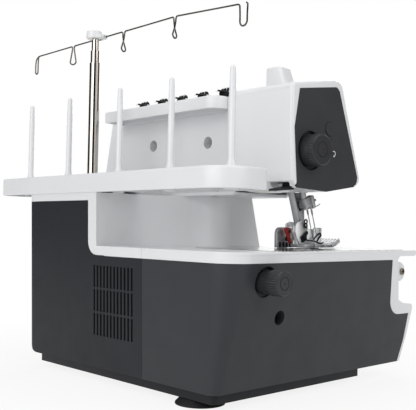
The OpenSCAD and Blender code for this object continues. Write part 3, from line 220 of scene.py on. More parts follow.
# Frame and motor: die-cast aluminium, dull grey
cast_alloy = ground_metal("die_cast_alloy", "#9fa2a5", 0.5, 1.6, "Z", 0.15)
# Bearings: turned bronze, yellow brown
bronze = ground_metal("turned_bronze", "#b08d4a", 0.35, 0.8, "X", 0.15)
# Lens of the lamp: opal polycarbonate, milky
lamp_lens = moulded_plastic("opal_polycarbonate", "#f1f2ea", 0.4, 1.5, 0.02, 0.02)

# ---------- shapes ----------
SHARP = math.radians(28)   # past this angle two faces meet in an edge
ONE_FACE = math.radians(0.3)   # below this one they make one face
MERGE_CAD, MERGE_TURNED = 0.002 * MM, 0.001 * MM   # doubles nearer than this are merged


def finish_piece(name, bm, material, body, replaces=(), made=True):
    """Turns a bmesh in the row frame into a piece that rides on a body. Made is False for a copy of a
    CAD node, whose faces already point the right way."""
    if made:
        bmesh.ops.recalc_face_normals(bm, faces=bm.faces)
    for face in bm.faces:
        face.smooth = True
    for edge in bm.edges:
        edge.smooth = len(edge.link_faces) == 2 and edge.calc_face_angle(0) < SHARP
    mesh = bpy.data.meshes.new(name)
    bm.to_mesh(mesh)
    bm.free()
    mesh.materials.append(material)
    piece = bpy.data.objects.new(name, mesh)
    bpy.context.scene.collection.objects.link(piece)
    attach(piece, body)
    if replaces:
        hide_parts(*replaces)
    return piece


def round_edges(piece, radius, segments):
    """Rounds a piece's sharp edges, radius in millimetres."""
    bevel = piece.modifiers.new("rounded_edges", "BEVEL")
    bevel.width = radius * MM
    bevel.segments = segments
    bevel.limit_method = "ANGLE"
    bevel.angle_limit = SHARP
    bevel.harden_normals = True


AXES = {"x": Vector(TO_RIGHT), "y": Vector(TO_BACK), "z": Vector(UP)}
ON_PLANE = 0.05 * MM   # how near to a plane a vertex counts as on it
# Cosines: a face lies in a plane above the first and stands across it below the second, and an edge
# runs along an axis above the third
FLAT, UPRIGHT, PARALLEL = 0.9, 0.6, 0.98


def bevel_edges(bm, edges, width, segments, clamp=False):
    """Rounds edges of a bmesh, width in millimetres."""
    bmesh.ops.bevel(bm, geom=edges, offset=width * MM, segments=segments, affect="EDGES", profile=0.5,
                    material=-1, clamp_overlap=clamp)


def round_rim(bm, axis, level, width, segments=4):
    """Rounds the outer edges that lie in one plane of a shell: level and width in millimetres."""
    index = "xyz".index(axis)
    value = at(level, level, level)[index]
    middle = sum((v.co for v in bm.verts), Vector()) / len(bm.verts)
    picked = []
    for edge in bm.edges:
        if len(edge.link_faces) != 2 or any(abs(v.co[index] - value) > ON_PLANE for v in edge.verts):
            continue
        flat, wall = sorted((face.normal for face in edge.link_faces), key=lambda n: -abs(n[index]))
        out = (edge.verts[0].co + edge.verts[1].co) / 2 - middle
        out[index] = 0
        if abs(flat[index]) > FLAT and abs(wall[index]) < UPRIGHT and wall.dot(out) > 0:
            picked.append(edge)
    bevel_edges(bm, picked, width, segments)


def round_lines(bm, axis, shortest, low, high, width, segments=3):
    """Rounds the outer edges that run along an axis inside a box given in millimetres."""
    low, high = at(*low), at(*high)
    picked = []
    for edge in bm.edges:
        run = edge.verts[1].co - edge.verts[0].co
        if len(edge.link_faces) != 2 or run.length < shortest * MM:
            continue
        mid = (edge.verts[0].co + edge.verts[1].co) / 2
        straight = abs(run.normalized().dot(AXES[axis])) >= PARALLEL
        inside = all(low[i] < mid[i] < high[i] for i in range(3))
        if straight and inside and edge.is_convex and edge.calc_face_angle(0) > SHARP:
            picked.append(edge)
    bevel_edges(bm, picked, width, segments)


# Corner between the back and the right end: its radius on the CAD, its tighter one, and that of the round
# at the cover's foot, with the lines where these rounds begin
CORNER_R, TIGHT_R, LOW_R = 14.0, 3.5, 12.0
CORNER_X, LOW_X, LOW_Z = BODY_WIDTH - CORNER_R, BODY_WIDTH - LOW_R, COVER_FOOT + LOW_R
NEAR_LINE, NEAR_ROUND = 0.01, 0.3   # how near to a line or to the round a vertex counts as on it


def square_corner(bm):
    """Draws the wide back corner at the end with the handwheel out to a tight one, over the rounded foot."""
    bmesh.ops.bisect_plane(bm, geom=bm.verts[:] + bm.edges[:] + bm.faces[:], dist=NEAR_LINE * MM,
                           plane_co=at(CORNER_X, -CORNER_R, 0), plane_no=AXES["y"])
    flat = CORNER_R - TIGHT_R
    turn = math.atan2(flat, CORNER_R)   # where the flat side ends and the tight round begins
    for vert in bm.verts:
        x, y, z = vert.co / MM + MIDDLE
        back = (z - COVER_FOOT) * math.tan(BACK_DRAFT)
        dx, dy = x - CORNER_X, y - back + CORNER_R
        if dx < NEAR_LINE or dy < NEAR_LINE or abs(math.hypot(dx, dy) - CORNER_R) > NEAR_ROUND:
            continue
        angle = math.atan2(dy, dx)
        if angle < turn:
            dx, dy = CORNER_R, CORNER_R * math.tan(angle)
        elif angle > math.pi / 2 - turn:
            dx, dy = CORNER_R / math.tan(angle), CORNER_R
        else:
            bend = (angle - turn) / (math.pi / 2 - 2 * turn) * math.pi / 2
            dx, dy = flat + TIGHT_R * math.cos(bend), flat + TIGHT_R * math.sin(bend)
        x, y = CORNER_X + dx, back - CORNER_R + dy
        if x > LOW_X and z < LOW_Z:
            z = max(z, LOW_Z - math.sqrt(max(0.0, LOW_R ** 2 - (x - LOW_X) ** 2)))
        vert.co = at(x, y, z)


def dressed(node, material, radius=0.0, segments=2, rims=(), lines=(), squared=False):
    """A copy of a CAD node with whole faces and rounded edges, in its finish; squared tightens its corner."""
    bm = bmesh.new()
    bm.from_mesh(nodes[node].data)
    bmesh.ops.remove_doubles(bm, verts=bm.verts, dist=MERGE_CAD)
    bmesh.ops.dissolve_limit(bm, angle_limit=ONE_FACE, verts=bm.verts, edges=bm.edges)
    if squared:
        square_corner(bm)
    for rim in rims:
        round_rim(bm, *rim)
    for line in lines:
        round_lines(bm, *line)
    piece = finish_piece(node + "_shell", bm, material, body_of[node], [node], made=False)
    if radius:
        round_edges(piece, radius, segments)


def slab(bm, axis, outline, low, high, rounding=0.3, segments=2):
    """A flat outline in millimetres, (y, z) for x, (x, z) for y, (x, y) for z, drawn out from low to high."""
    place = {"x": (lambda a, b: at(low, a, b)), "y": (lambda a, b: at(a, low, b)),
             "z": (lambda a, b: at(a, b, low))}[axis]
    face = bm.faces.new([bm.verts.new(place(a, b)) for a, b in outline])
    drawn = bmesh.ops.extrude_face_region(bm, geom=[face])["geom"]
    far = [part for part in drawn if isinstance(part, bmesh.types.BMVert)]
    bmesh.ops.translate(bm, vec=AXES[axis] * (high - low) * MM, verts=far)
    walls = {wall for vert in far for wall in vert.link_faces}
    bmesh.ops.recalc_face_normals(bm, faces=list(walls | {face}))
    if rounding:
        edges = {edge for vert in list(face.verts) + far for edge in vert.link_edges}
        bevel_edges(bm, list(edges), rounding, segments, clamp=True)


def box(bm, low, high, rounding=0.3, segments=2):
    """A box between two corners in millimetres, its edges rounded."""
    outline = [(low[0], low[1]), (high[0], low[1]), (high[0], high[1]), (low[0], high[1])]
    slab(bm, "z", outline, low[2], high[2], rounding, segments)


def lathe(bm, profile, centre, axis, steps=48):
    """Turns (height, radius) pairs in millimetres round an axis through centre."""
    origin, spindle = at(*centre), Vector(axis).normalized()
    out = spindle.orthogonal().normalized()
    chain = [bm.verts.new(origin + (spindle * height + out * radius) * MM) for height, radius in profile]
    edges = [bm.edges.new(pair) for pair in zip(chain, chain[1:])]
    bmesh.ops.spin(bm, geom=chain + edges, cent=origin, axis=spindle, angle=2 * math.pi, steps=steps,
                   use_merge=True)
    bmesh.ops.remove_doubles(bm, verts=bm.verts, dist=MERGE_TURNED)
    bmesh.ops.recalc_face_normals(bm, faces=bm.faces)


def grip(bm, centre, axis, low, high, count, depth):
    """Presses ribs into a turned part between two heights; it has four steps for each rib."""
    origin, spindle = at(*centre), Vector(axis).normalized()
    out = spindle.orthogonal().normalized()
    side = spindle.cross(out)
    for vert in bm.verts:
        height = (vert.co - origin).dot(spindle)
        around = vert.co - origin - spindle * height
        if low * MM < height < high * MM:
            step = round(math.atan2(around.dot(side), around.dot(out)) / (2 * math.pi) * 4 * count)
            if step % 4 < 2:
                vert.co -= around.normalized() * depth * MM


def add_mesh(bm, data, matrix):
    """Adds a wire or a text to a bmesh as a mesh."""
    holder = bpy.data.objects.new("holder", data)
    mesh = bpy.data.meshes.new_from_object(holder)
    mesh.transform(matrix)
    bm.from_mesh(mesh)
    bpy.data.objects.remove(holder)
    bpy.data.meshes.remove(mesh)


def wire(bm, points, radius, closed=False):
    """A round wire through points, all in millimetres."""
    curve = bpy.data.curves.new("wire", "CURVE")
    curve.dimensions = "3D"
    curve.bevel_depth = radius * MM
    curve.bevel_resolution = 3
    curve.use_fill_caps = not closed
    spline = curve.splines.new("POLY")
    spline.points.add(len(points) - 1)
    for point, place in zip(spline.points, points):
        point.co = (*at(*place), 1)
    spline.use_cyclic_u = closed
    add_mesh(bm, curve, Matrix())


FONT_TO_HEIGHT = 1.4   # size of the plain font for digits of height 1


def lettering(bm, words, place, size, across, upward, thickness=0.05):
    """A number or sign of a given height in millimetres; across and upward are its directions."""
    text = bpy.data.curves.new("sign", "FONT")
    text.body = words
    text.size = size * FONT_TO_HEIGHT * MM
    text.extrude = thickness * MM
    text.resolution_u = 3
    text.align_x = text.align_y = "CENTER"
    across, upward = Vector(across).normalized(), Vector(upward).normalized()
    turn = Matrix((across, upward, across.cross(upward))).transposed().to_4x4()
    add_mesh(bm, text, Matrix.Translation(at(*place)) @ turn)


def arc(centre, radius, first, last, steps=12):
    """Points (a, b) on an arc, angles in degrees."""
    return [(centre[0] + radius * math.cos(math.radians(first + (last - first) * i / steps)),
             centre[1] + radius * math.sin(math.radians(first + (last - first) * i / steps)))
            for i in range(steps + 1)]


BOW_HALF, HEAD_HALF = 0.35, 1.1   # half the width of a printed bow and of its arrow head
HEAD_TURN = 96   # degrees that the head would take up on a bow of 1 mm radius
INK_SUNK, INK_PROUD = 0.05, 0.1   # how far a mark reaches into its face and stands off it


def turn_arrow(bm, x, centre, radius, first, last, lean=0.0):
    """A printed bow with an arrow head, on a face that looks to the left and leans."""
    band = arc(centre, radius + BOW_HALF, first, last) + arc(centre, radius - BOW_HALF, last, first)
    tip = last + (HEAD_TURN if last > first else -HEAD_TURN) / radius
    head = [arc(centre, reach, angle, angle, 1)[0]
            for reach, angle in ((radius + HEAD_HALF, last), (radius - HEAD_HALF, last), (radius, tip))]
    start = len(bm.verts)
    for outline in (band, head):
        slab(bm, "x", outline, x - INK_PROUD, x + INK_SUNK, 0)
    bm.verts.ensure_lookup_table()
    for vert in bm.verts[start:]:
        vert.co.x -= (vert.co.z - centre[1] * MM) * math.tan(lean)


# ---------- shells, covers and cap ----------
BED_TOP, STAND_FOOT, STAND_TOP, RAIL_FOOT, RAIL_TOP, HEAD_LEFT = 138.8, 193.5, 213.3, 280, 293, -10
# How far the edges are rounded: white shells, dark covers, base, head cover, dials and wheels
SHELL_EDGE, COVER_EDGE, BASE_EDGE, HEAD_EDGE, DIAL_EDGE = 0.6, 0.9, 0.5, 0.4, 0.3
# Each white shell with its rims (axis, level, width, segments) and its long edges (axis, shortest, two
# corners of the box they lie in, width)
for node, rims, lines in (
        ("lower_frame", (), ()), ("bed_plate", [("z", BED_TOP, 2.4)], ()),
        ("rear_housing", (), ()),
        ("arm_rear_cover", (), [("x", 60, (60, -110, 285), (300, -80, 320), 2.5)]),
        ("front_housing", (), ()), ("right_cover", (), ()),
        ("head_housing", [("x", HEAD_LEFT, 3.2, 5)], [("x", 40, (-20, -100, 285), (90, -70, 320), 2.5)]),
        ("thread_rail", [("z", RAIL_TOP, 2), ("z", RAIL_FOOT, 1)], ()),
        ("spool_stand", [("z", STAND_TOP, 2.6), ("z", STAND_FOOT, 1.2)], ()),
        ("spool_pins", (), ()), ("bed_lug", (), ()), ("looper_cover", (), ())):
    dressed(node, white_abs, SHELL_EDGE, 2, rims, lines, squared=(node == "rear_housing"))
# Dark covers and the base
dressed("base_plate", base_abs, BASE_EDGE)
dressed("rear_cover", charcoal_abs, COVER_EDGE, 3, squared=True)
# End cover: the rear cover's plastic painted paler, as painted light
dressed("end_cover", charcoal_abs_painted_paler, COVER_EDGE, 3)
dressed("head_end_plate", charcoal_satin_abs, HEAD_EDGE)
# Turned and moulded parts that keep their CAD shape
for node in ("handwheel", "stitch_length_dial", "main_pulley",
             "tension_dial_1", "tension_dial_2", "tension_dial_3", "tension_dial_4", "tension_dial_5"):
    dressed(node, knob_abs, DIAL_EDGE)
for node, material in {
        "rubber_feet": foot_rubber, "power_switch": black_polyamide, "power_inlet": black_polyamide,
        "presser_lifter": black_polyamide, "pole_lower": chrome_tube, "pole_middle": chrome_tube,
        "pole_upper": chrome_tube, "thread_guide_wire": guide_steel, "needles": ground_steel,
        "needle_plate": polished_plate, "body_screws": brass_screw, "tension_shaft": ground_steel,
        "cover_hinge": ground_steel, "main_shaft": ground_steel, "needle_bar": sintered_steel,
        "presser_bar": sintered_steel, "upper_looper": ground_steel, "lower_looper": ground_steel,
        "feed_dogs": ground_steel, "lower_knife": ground_steel, "motor_pulley": ground_steel,
        "motor": cast_alloy, "inner_frame": cast_alloy,
        "shaft_bearings": bronze, "drive_belt": belt_rubber,
        "led_lamp": lamp_lens}.items():
    dressed(node, material)

# Cover of the take-up levers: a tapered hump on the head
bm = bmesh.new()
slab(bm, "y", [(20.5, 296), (49, 296), (49, 322.4), (30.4, 322.4)], -131, -113, 2.6, 4)
finish_piece("take_up_hump", bm, white_abs, "machine", ["take_up_cover"])

# Wall that closes the head where it steps back past the arm
bm = bmesh.new()
slab(bm, "x", [(-104, 199.5), (-96.6, 199.8), (-90.2, 205.6), (-87.2, 250), (-87.2, 292.6), (-90, 296.8),
               (-104, 299)], 72.4, 74.4, 0.2)
finish_piece("head_return_wall", bm, white_abs, "machine")

# Cap of the guide pole: a turned disc with a rolled rim, off the pole's axis, and a tab that holds the wire
POLE_X, POLE_Y, CAP_FOOT, CAP_SHIFT = 218.5, -22, 363.9, 0.9
bm = bmesh.new()
lathe(bm, [(0, 0), (0, 8.1), (0.5, 8.6), (7, 8.6), (7.7, 8.3), (8, 7.6), (8, 0)],
      (POLE_X + CAP_SHIFT, POLE_Y + CAP_SHIFT, CAP_FOOT), UP, 64)
box(bm, (POLE_X - 10, POLE_Y - 9.2, CAP_FOOT), (POLE_X + 3, POLE_Y - 4, CAP_FOOT + 4.5), 0.7, 3)
box(bm, (POLE_X - 10, POLE_Y - 6, CAP_FOOT + 0.2), (POLE_X - 3, POLE_Y + 1.4, CAP_FOOT + 4.3), 0.7, 3)
finish_piece("pole_cap_turned", bm, white_abs, body_of["pole_cap"], ["pole_cap"])

# ---------- knobs, arrows and lug screw ----------
# Presser pressure knob: a slightly conical skirt with ribs near its face, a ring groove and a dimple
PRESSURE_KNOB, PRESSURE_CAP = (HEAD_LEFT, -114.5, 234.8), (HEAD_LEFT, -142.8, 258.1)
PRESSURE_RIBS, END_RIBS = 40, 32
bm = bmesh.new()
lathe(bm, [(-4, 0), (-4, 15.4), (0, 15.6), (7.4, 15.2), (7.6, 15.9), (13.2, 15.3), (13.9, 14.9),
           (14.4, 14.2), (14.4, 13.6), (14.1, 13.3), (14.1, 7.6), (13.6, 7.4), (13.6, 7.0), (14.2, 6.8),
           (14.2, 0.9), (13.7, 0.7), (13.7, 0)], PRESSURE_KNOB, LEFT, 4 * PRESSURE_RIBS)
grip(bm, PRESSURE_KNOB, LEFT, 7.5, 13.5, PRESSURE_RIBS, 0.7)
finish_piece("pressure_knob_turned", bm, knob_abs, body_of["pressure_knob"], ["pressure_knob"])
# Cap beside it: a flush disc with a rolled edge and a dimple
bm = bmesh.new()
lathe(bm, [(-2.5, 0), (-2.5, 2.4), (0, 2.5), (0, 6.4), (0.7, 6.5), (1.1, 6.2), (1.1, 5.9), (0.8, 5.6),
           (0.9, 0.7), (0.5, 0.5), (0.5, 0)], PRESSURE_CAP, LEFT, 64)
finish_piece("pressure_cap_turned", bm, charcoal_satin_abs, body_of["pressure_cap"],
             ["pressure_cap"])
# Painted shade: a dark ring standing for the gap round the cap; and the gate mark in its middle
bm = bmesh.new()
lathe(bm, [(0, 6.5), (0, 7.2), (0.25, 7.1), (0.25, 6.6), (0, 6.5)], PRESSURE_CAP, LEFT, 64)
lathe(bm, [(0.5, 0), (0.5, 0.6), (1, 0.6), (1, 0)], PRESSURE_CAP, LEFT, 16)
finish_piece("pressure_cap_gap_painted_shade", bm, black_polyamide, body_of["pressure_cap"])
# Knob on the end cover: smooth neck, ribbed crown, ring groove and dimple
END_KNOB_Z = 112.5
END_KNOB = (-(END_KNOB_Z - COVER_FOOT) * math.tan(END_LEAN), -43.8, END_KNOB_Z)
bm = bmesh.new()
lathe(bm, [(-4, 0), (-4, 10.8), (9.4, 10.9), (9.7, 11.6), (20.6, 11.3), (21.4, 10.9), (21.9, 10.2),
           (21.9, 9.6), (21.6, 9.3), (21.6, 6), (21.1, 5.8), (21.1, 5.4), (21.7, 5.2), (21.7, 0.9),
           (21.2, 0.7), (21.2, 0)], END_KNOB, LEFT, 4 * END_RIBS)
grip(bm, END_KNOB, LEFT, 9.6, 20.8, END_RIBS, 0.55)
finish_piece("end_knob_turned", bm, knob_abs, body_of["end_knob"], ["end_knob"])

# Turning arrows beside the knobs
bm = bmesh.new()
turn_arrow(bm, HEAD_LEFT, (-150, 234.5), 2.6, 60, 250)
finish_piece("pressure_arrow", bm, white_ink, "machine")
bm = bmesh.new()
turn_arrow(bm, END_KNOB[0] - INK_PROUD, (END_KNOB[1], END_KNOB[2]), 16, 160, 148, END_LEAN)
finish_piece("end_knob_arrow", bm, white_ink, "machine")
# Screw of the lug on the bed: a pan head, its cross recess painted as shade by two dark bars
LUG_SCREW = (-20.3, -260.5, 116)
bm = bmesh.new()
lathe(bm, [(-1, 0), (-1, 3.5), (0.1, 3.4), (0.6, 2.6), (0.7, 0)], LUG_SCREW, LEFT, 32)
finish_piece("lug_screw_head", bm, brass_screw, "machine")
# Painted shade: two dark bars that stand on the head's face for its cross recess
bm = bmesh.new()
for wide, high in ((2.3, 0.5), (0.5, 2.3)):
    left, back, height = LUG_SCREW
    box(bm, (left - 0.85, back - wide, height - high), (left - 0.4, back + wide, height + high), 0.1)
finish_piece("lug_screw_painted_recess", bm, blackened_steel, "machine")

# ---------- printed marks ----------
# Heights of the digits on the tension dials, of the other digits, and of the switch's signs
DIAL_DIGIT, SMALL_DIGIT, SWITCH_SIGN = 4.2, 3.4, 3
# Numbers 0 to 9 round each tension dial
DIAL_X, DIAL_PITCH, DIAL_RADIUS, DIAL_Y, DIAL_Z = 96, 34, 31, -150, 261
for i in range(5):
    bm = bmesh.new()
    for digit in range(10):
        angle = math.radians(30 + 36 * digit)
        place = (DIAL_X + DIAL_PITCH * i, DIAL_Y - math.cos(angle) * DIAL_RADIUS,
                 DIAL_Z + math.sin(angle) * DIAL_RADIUS)
        lettering(bm, str(digit), place, DIAL_DIGIT, TO_RIGHT, (0, math.sin(angle), math.cos(angle)), 0.08)
    finish_piece("tension_numbers_%d" % (i + 1), bm, white_ink, "dial_%d" % (i + 1))
# Numbers on the stitch length dial, and the two signs of the switch
LENGTH_DIAL, LENGTH_RING = (312.05, -150, 170), 8.6
bm = bmesh.new()
for digit in range(1, 5):
    angle = math.radians(150 - 60 * digit)
    place = (LENGTH_DIAL[0], LENGTH_DIAL[1] + math.cos(angle) * LENGTH_RING,
             LENGTH_DIAL[2] + math.sin(angle) * LENGTH_RING)
    lettering(bm, str(digit), place, SMALL_DIGIT, TO_BACK, UP)
finish_piece("length_numbers", bm, white_ink, body_of["stitch_length_dial"])
SWITCH_FACE, SWITCH_Z = 302.4, 52
bm = bmesh.new()
for sign, y in (("I", -138.6), ("O", -145.4)):
    lettering(bm, sign, (SWITCH_FACE, y, SWITCH_Z), SWITCH_SIGN, TO_BACK, UP, 0.6)
finish_piece("switch_signs", bm, white_ink, body_of["power_switch"])
# Line on the handwheel's rim and two turning bows on its face
HANDWHEEL, RIM_RADIUS, WHEEL_FACE = (-120, 112), 38, 323   # its axis in (y, z)
bm = bmesh.new()
for first in (20, 200):
    bow = arc(HANDWHEEL, 33.6, first, first + 50) + arc(HANDWHEEL, 32.6, first + 50, first)
    slab(bm, "x", bow, WHEEL_FACE, WHEEL_FACE + 0.15, 0)
box(bm, (306, HANDWHEEL[0] - 0.6, HANDWHEEL[1] + RIM_RADIUS - 0.2),
    (322, HANDWHEEL[0] + 0.6, HANDWHEEL[1] + RIM_RADIUS + 0.2), 0.1)
finish_piece("handwheel_marks", bm, white_ink, body_of["handwheel"])
# Seam guide lines on the needle plate with their numbers
PLATE_TOP = 139.2
bm = bmesh.new()
for number, x in ((5, 66), (6, 71), (7, 76), (8, 81)):
    box(bm, (x, -262, PLATE_TOP), (x + 0.5, -214, PLATE_TOP + 0.06), 0)
    lettering(bm, str(number), (x, -266, PLATE_TOP + 0.02), SMALL_DIGIT, TO_RIGHT, TO_BACK)
finish_piece("seam_guide_lines", bm, grey_ink, "machine")

# ---------- thread rail ----------
# Five pre-tension guides: a blackened body, a slanting plate and three lugs, with a pin, two tongues and an
# end in steel painted near white as highlights
GUIDE_PLACES = [82.5 + 33 * i for i in range(5)]
for number, x in enumerate(GUIDE_PLACES):
    bm = bmesh.new()
    slab(bm, "y", [(x - 5.5, RAIL_TOP), (x + 5.5, RAIL_TOP), (x + 6.8, 297.5), (x + 5.6, 300.6),
                   (x + 2, 301.4), (x - 6, 298)], -94.5, -86.5, 0.8, 2)
    slab(bm, "y", [(x - 8, 296.2), (x + 6, 299.4), (x + 7.6, 300.6), (x + 5.6, 301.2), (x - 8.2, 297.6)],
         -96, -84.5, 0.3)
    for left in (x - 5.4, x - 0.6, x + 3):
        slab(bm, "x", [(-93, 297), (-88.5, 297), (-88.2, 301.9), (-89.8, 302.9), (-92, 301.6)],
             left, left + 2.2, 0.4)
    finish_piece("pre_tension_guide_%d" % (number + 1), bm, blackened_steel, "machine",
                 ["rail_guides"] if number == 0 else ())
bm = bmesh.new()
for x in GUIDE_PLACES:
    wire(bm, [(x + 5, -87.5, 299.9), (x + 9, -86, 300), (x + 10.6, -85.4, 299.9)], 0.55)
    for left in (x - 2.7, x + 1.8):
        slab(bm, "x", [(-91.5, 300), (-89, 300), (-88.6, 303.3), (-90.6, 303.6)], left, left + 1, 0.2)
    box(bm, (x - 7.6, -93.5, 297.2), (x - 5.6, -87.5, 298.8), 0.4)
finish_piece("pre_tension_pins", bm, steel_painted_highlight, "machine")

# ---------- needle, foot, knife and lifter bay ----------
BAR_TILT = Matrix.Rotation(math.radians(-18.5), 3, "X")
NEEDLE_BAR, PRESSER_BAR = (34, -155, 201), (40, -144.3, 201)


def tilted_box(bm, bar, low, high, rounding=0.4):
    """A box counted from a tilted bar's axis at the foot of the head, in millimetres."""
    known = set(bm.verts)
    box(bm, [b + v for b, v in zip(bar, low)], [b + v for b, v in zip(bar, high)], rounding)
    bmesh.ops.rotate(bm, cent=at(*bar), matrix=BAR_TILT, verts=[v for v in bm.verts if v not in known])


def along(bar, x, y, z):
    """The place of a point counted from a tilted bar's axis."""
    turned = BAR_TILT @ Vector((x, y, z))
    return tuple(b + v for b, v in zip(bar, turned))


# Needle clamp: a front plate on its holder, three set screws, two thread hooks and two screw heads
bm = bmesh.new()
tilted_box(bm, NEEDLE_BAR, (-5, -11.6, -23.6), (2.4, -7, -9.6), 1.3)
tilted_box(bm, NEEDLE_BAR, (-4.4, -7.4, -20.4), (4.4, 3.6, -9.8), 0.8)
finish_piece("needle_clamp_plate", bm, sintered_steel, body_of["needle_clamp"],
             ["needle_clamp"])
bm = bmesh.new()
for height in (-12.2, -15.6, -19):
    tilted_box(bm, NEEDLE_BAR, (2, -8.6, height - 1.1), (5, -3.8, height + 1.1), 0.3)
finish_piece("needle_clamp_screws", bm, blackened_steel, body_of["needle_clamp"])
bm = bmesh.new()
for hook, radius in ((((3, -2, -22), (-2, -7, -22.6), (-5.6, -13, -22), (-6.6, -16.4, -21)), 0.55),
                     (((-3, -2, -4.5), (-5.5, -7, -4), (-6.6, -12.5, -3.4)), 0.5)):
    wire(bm, [along(NEEDLE_BAR, *point) for point in hook], radius)
for x in (-2.8, 2.8):
    lathe(bm, [(0, 0), (0, 1.5), (2.2, 1.5), (2.2, 0)], along(NEEDLE_BAR, x, -12.2, -16), (0, -1, 0.33), 20)
finish_piece("needle_clamp_hooks", bm, sintered_steel, body_of["needle_clamp"])

# Presser bar bracket: two flat guides beside the bar
bm = bmesh.new()
slab(bm, "x", [(-148.5, 197.5), (-168, 197.5), (-170.5, 194), (-165, 190), (-166, 184), (-169, 180),
               (-169.5, 172), (-169, 166.5), (-164.5, 166.5), (-159, 178), (-153, 190)], 41.6, 44.4, 0.5)
slab(bm, "x", [(-146, 197), (-158, 197.2), (-160.5, 191), (-157, 187), (-151, 188)], 43.9, 46.2, 0.5)
finish_piece("presser_bracket", bm, sintered_steel, "presser")
# Thread eyes: one on the bracket, two rings over the foot and a hook in front of it
bm = bmesh.new()
wire(bm, [(41, y, z) for y, z in ((-158, 187.5), (-161.4, 186.6), (-163.6, 183.8), (-163.4, 180.4),
                                  (-161.2, 178.4), (-159.8, 181.6), (-157.6, 184.6))], 0.5, closed=True)
for height in (167.4, 163.2):
    wire(bm, [(31.4, y, z) for y, z in arc((-159.2, height), 2.1, 0, 345, 16)], 0.8, closed=True)
wire(bm, [(40.4, -182.4, 148.4), (40.2, -187.5, 151.9), (40, -192, 155.2), (40, -194.6, 155.6),
          (40, -196, 153.4), (40.4, -192.6, 150.2), (40.8, -190.6, 147.4), (41.4, -190.7, 145)], 0.75)
finish_piece("presser_thread_eyes", bm, blackened_steel, "presser")

# Sole of the presser foot: two runners under a plate, with a window that the needles pass
FOOT_LEFT, FOOT_RIGHT, FOOT_BACK, FOOT_FRONT = 28, 50, -157, -200
WINDOW_LEFT, WINDOW_RIGHT, WINDOW_BACK, WINDOW_FRONT = 29.4, 39.4, -171, -186
SOLE_FOOT, FEED_SLOT, SOLE_TOP = 140.5, 141.2, 143.8
RUNNER_TOP = FEED_SLOT + 0.3
bm = bmesh.new()
for left, right in ((FOOT_LEFT, 43.2), (47.4, 48.6)):
    inner = max(left, WINDOW_RIGHT)
    box(bm, (left, WINDOW_BACK, SOLE_FOOT), (right, FOOT_BACK, RUNNER_TOP), 0.2)
    box(bm, (left, FOOT_FRONT, SOLE_FOOT), (right, WINDOW_FRONT, RUNNER_TOP), 0.2)
    box(bm, (inner, WINDOW_FRONT - 1, SOLE_FOOT), (right, WINDOW_BACK + 1, RUNNER_TOP), 0.2)
box(bm, (FOOT_LEFT, WINDOW_BACK, FEED_SLOT), (FOOT_RIGHT, FOOT_BACK, SOLE_TOP), 0.4)
box(bm, (FOOT_LEFT, FOOT_FRONT, FEED_SLOT), (FOOT_RIGHT, WINDOW_FRONT, SOLE_TOP), 0.4)
box(bm, (FOOT_LEFT, WINDOW_FRONT - 1, SOLE_FOOT), (WINDOW_LEFT, WINDOW_BACK + 1, SOLE_TOP), 0.2)
box(bm, (WINDOW_RIGHT, WINDOW_FRONT - 1, FEED_SLOT), (FOOT_RIGHT, WINDOW_BACK + 1, SOLE_TOP), 0.3)
finish_piece("presser_foot_sole", bm, sintered_steel, "presser", ["presser_foot"])

# Toe: slanting teeth on its left side, and six tongues that rise to its tip, in steel painted near white as a
# highlight
TOE_RISE_FROM, TOE_SLOPE, TOOTH_FIRST, TOOTH_PITCH, TONGUE_PITCH, TONGUE_WIDTH = 203, 0.55, -197.6, 2.1, 4, 2
bm = bmesh.new()
for i in range(7):
    y = TOOTH_FIRST - TOOTH_PITCH * i
    rise = max(0, -y - TOE_RISE_FROM) * TOE_SLOPE
    slab(bm, "x", [(y, 146.6 + rise), (y - 1, 146.9 + rise), (y - 2.9, 142 + rise), (y - 1.9, 141.7 + rise)],
         27.6, 28.4, 0.15)
for left in range(FOOT_LEFT, FOOT_RIGHT, TONGUE_PITCH):
    slab(bm, "x", [(-198, 141.2), (-203, 141.2), (-213.6, 147.4), (-212.6, 149.8), (-209.8, 150.2),
                   (-203.4, 146.2), (-198, 145)], left, left + TONGUE_WIDTH, 0.3)
finish_piece("presser_foot_teeth", bm, steel_painted_highlight, "presser")

# Ankle round the bar, right cheek, block before it, left cheek, bridge between them, and lever bracket
# All of these in steel painted near white as a highlight
bm = bmesh.new()
tilted_box(bm, PRESSER_BAR, (-5.6, -4.3, -52), (3.4, 2.4, -37), 0.8)
slab(bm, "x", [(-157.6, 157), (-159.2, 164.8), (-161, 166.8), (-167.4, 168.2), (-175, 163.4), (-182.6, 161),
               (-184.2, 158.6), (-177.6, 151.6), (-172.4, 145.4), (-165.2, 143.6), (-160.4, 149.6)],
     46.2, 50, 0.6)
slab(bm, "x", [(-176.6, 144), (-189.4, 144), (-189.4, 159.4), (-188.4, 160.4), (-178.6, 160.2),
               (-176.6, 158)], 43.6, 47.4, 0.6)
slab(bm, "x", [(-144.3, 157), (-145.9, 164.8), (-147.7, 166.8), (-154.1, 168.2), (-159.8, 164.6),
               (-163.3, 161.5), (-163.3, 152), (-159.1, 145.4), (-151.9, 143.6), (-147.1, 149.6)],
     32.4, 34.6, 0.5)
box(bm, (40, -186, 143.6), (46, -158, 149.6), 0.5)
slab(bm, "x", [(-150.2, 161.6), (-150.6, 164.6), (-156.6, 167.4), (-162, 167), (-160.6, 161.6)],
     FOOT_RIGHT, 52.2, 0.5)
finish_piece("presser_foot_cheek", bm, steel_painted_highlight, "presser")

# Guide block with three ribs on its left face, in steel painted near white as a highlight
bm = bmesh.new()
slab(bm, "x", [(-186, 143.6), (-198.4, 143.6), (-198.4, 160.6), (-197.6, 161.6), (-187, 161.6),
               (-186, 160.6)], 41.2, 43.4, 0.5)
for y in (-189.4, -193, -196.4):
    box(bm, (40.9, y - 0.5, 150), (41.4, y + 0.5, 160.6), 0.15)
finish_piece("presser_foot_guide", bm, steel_painted_highlight, "presser")

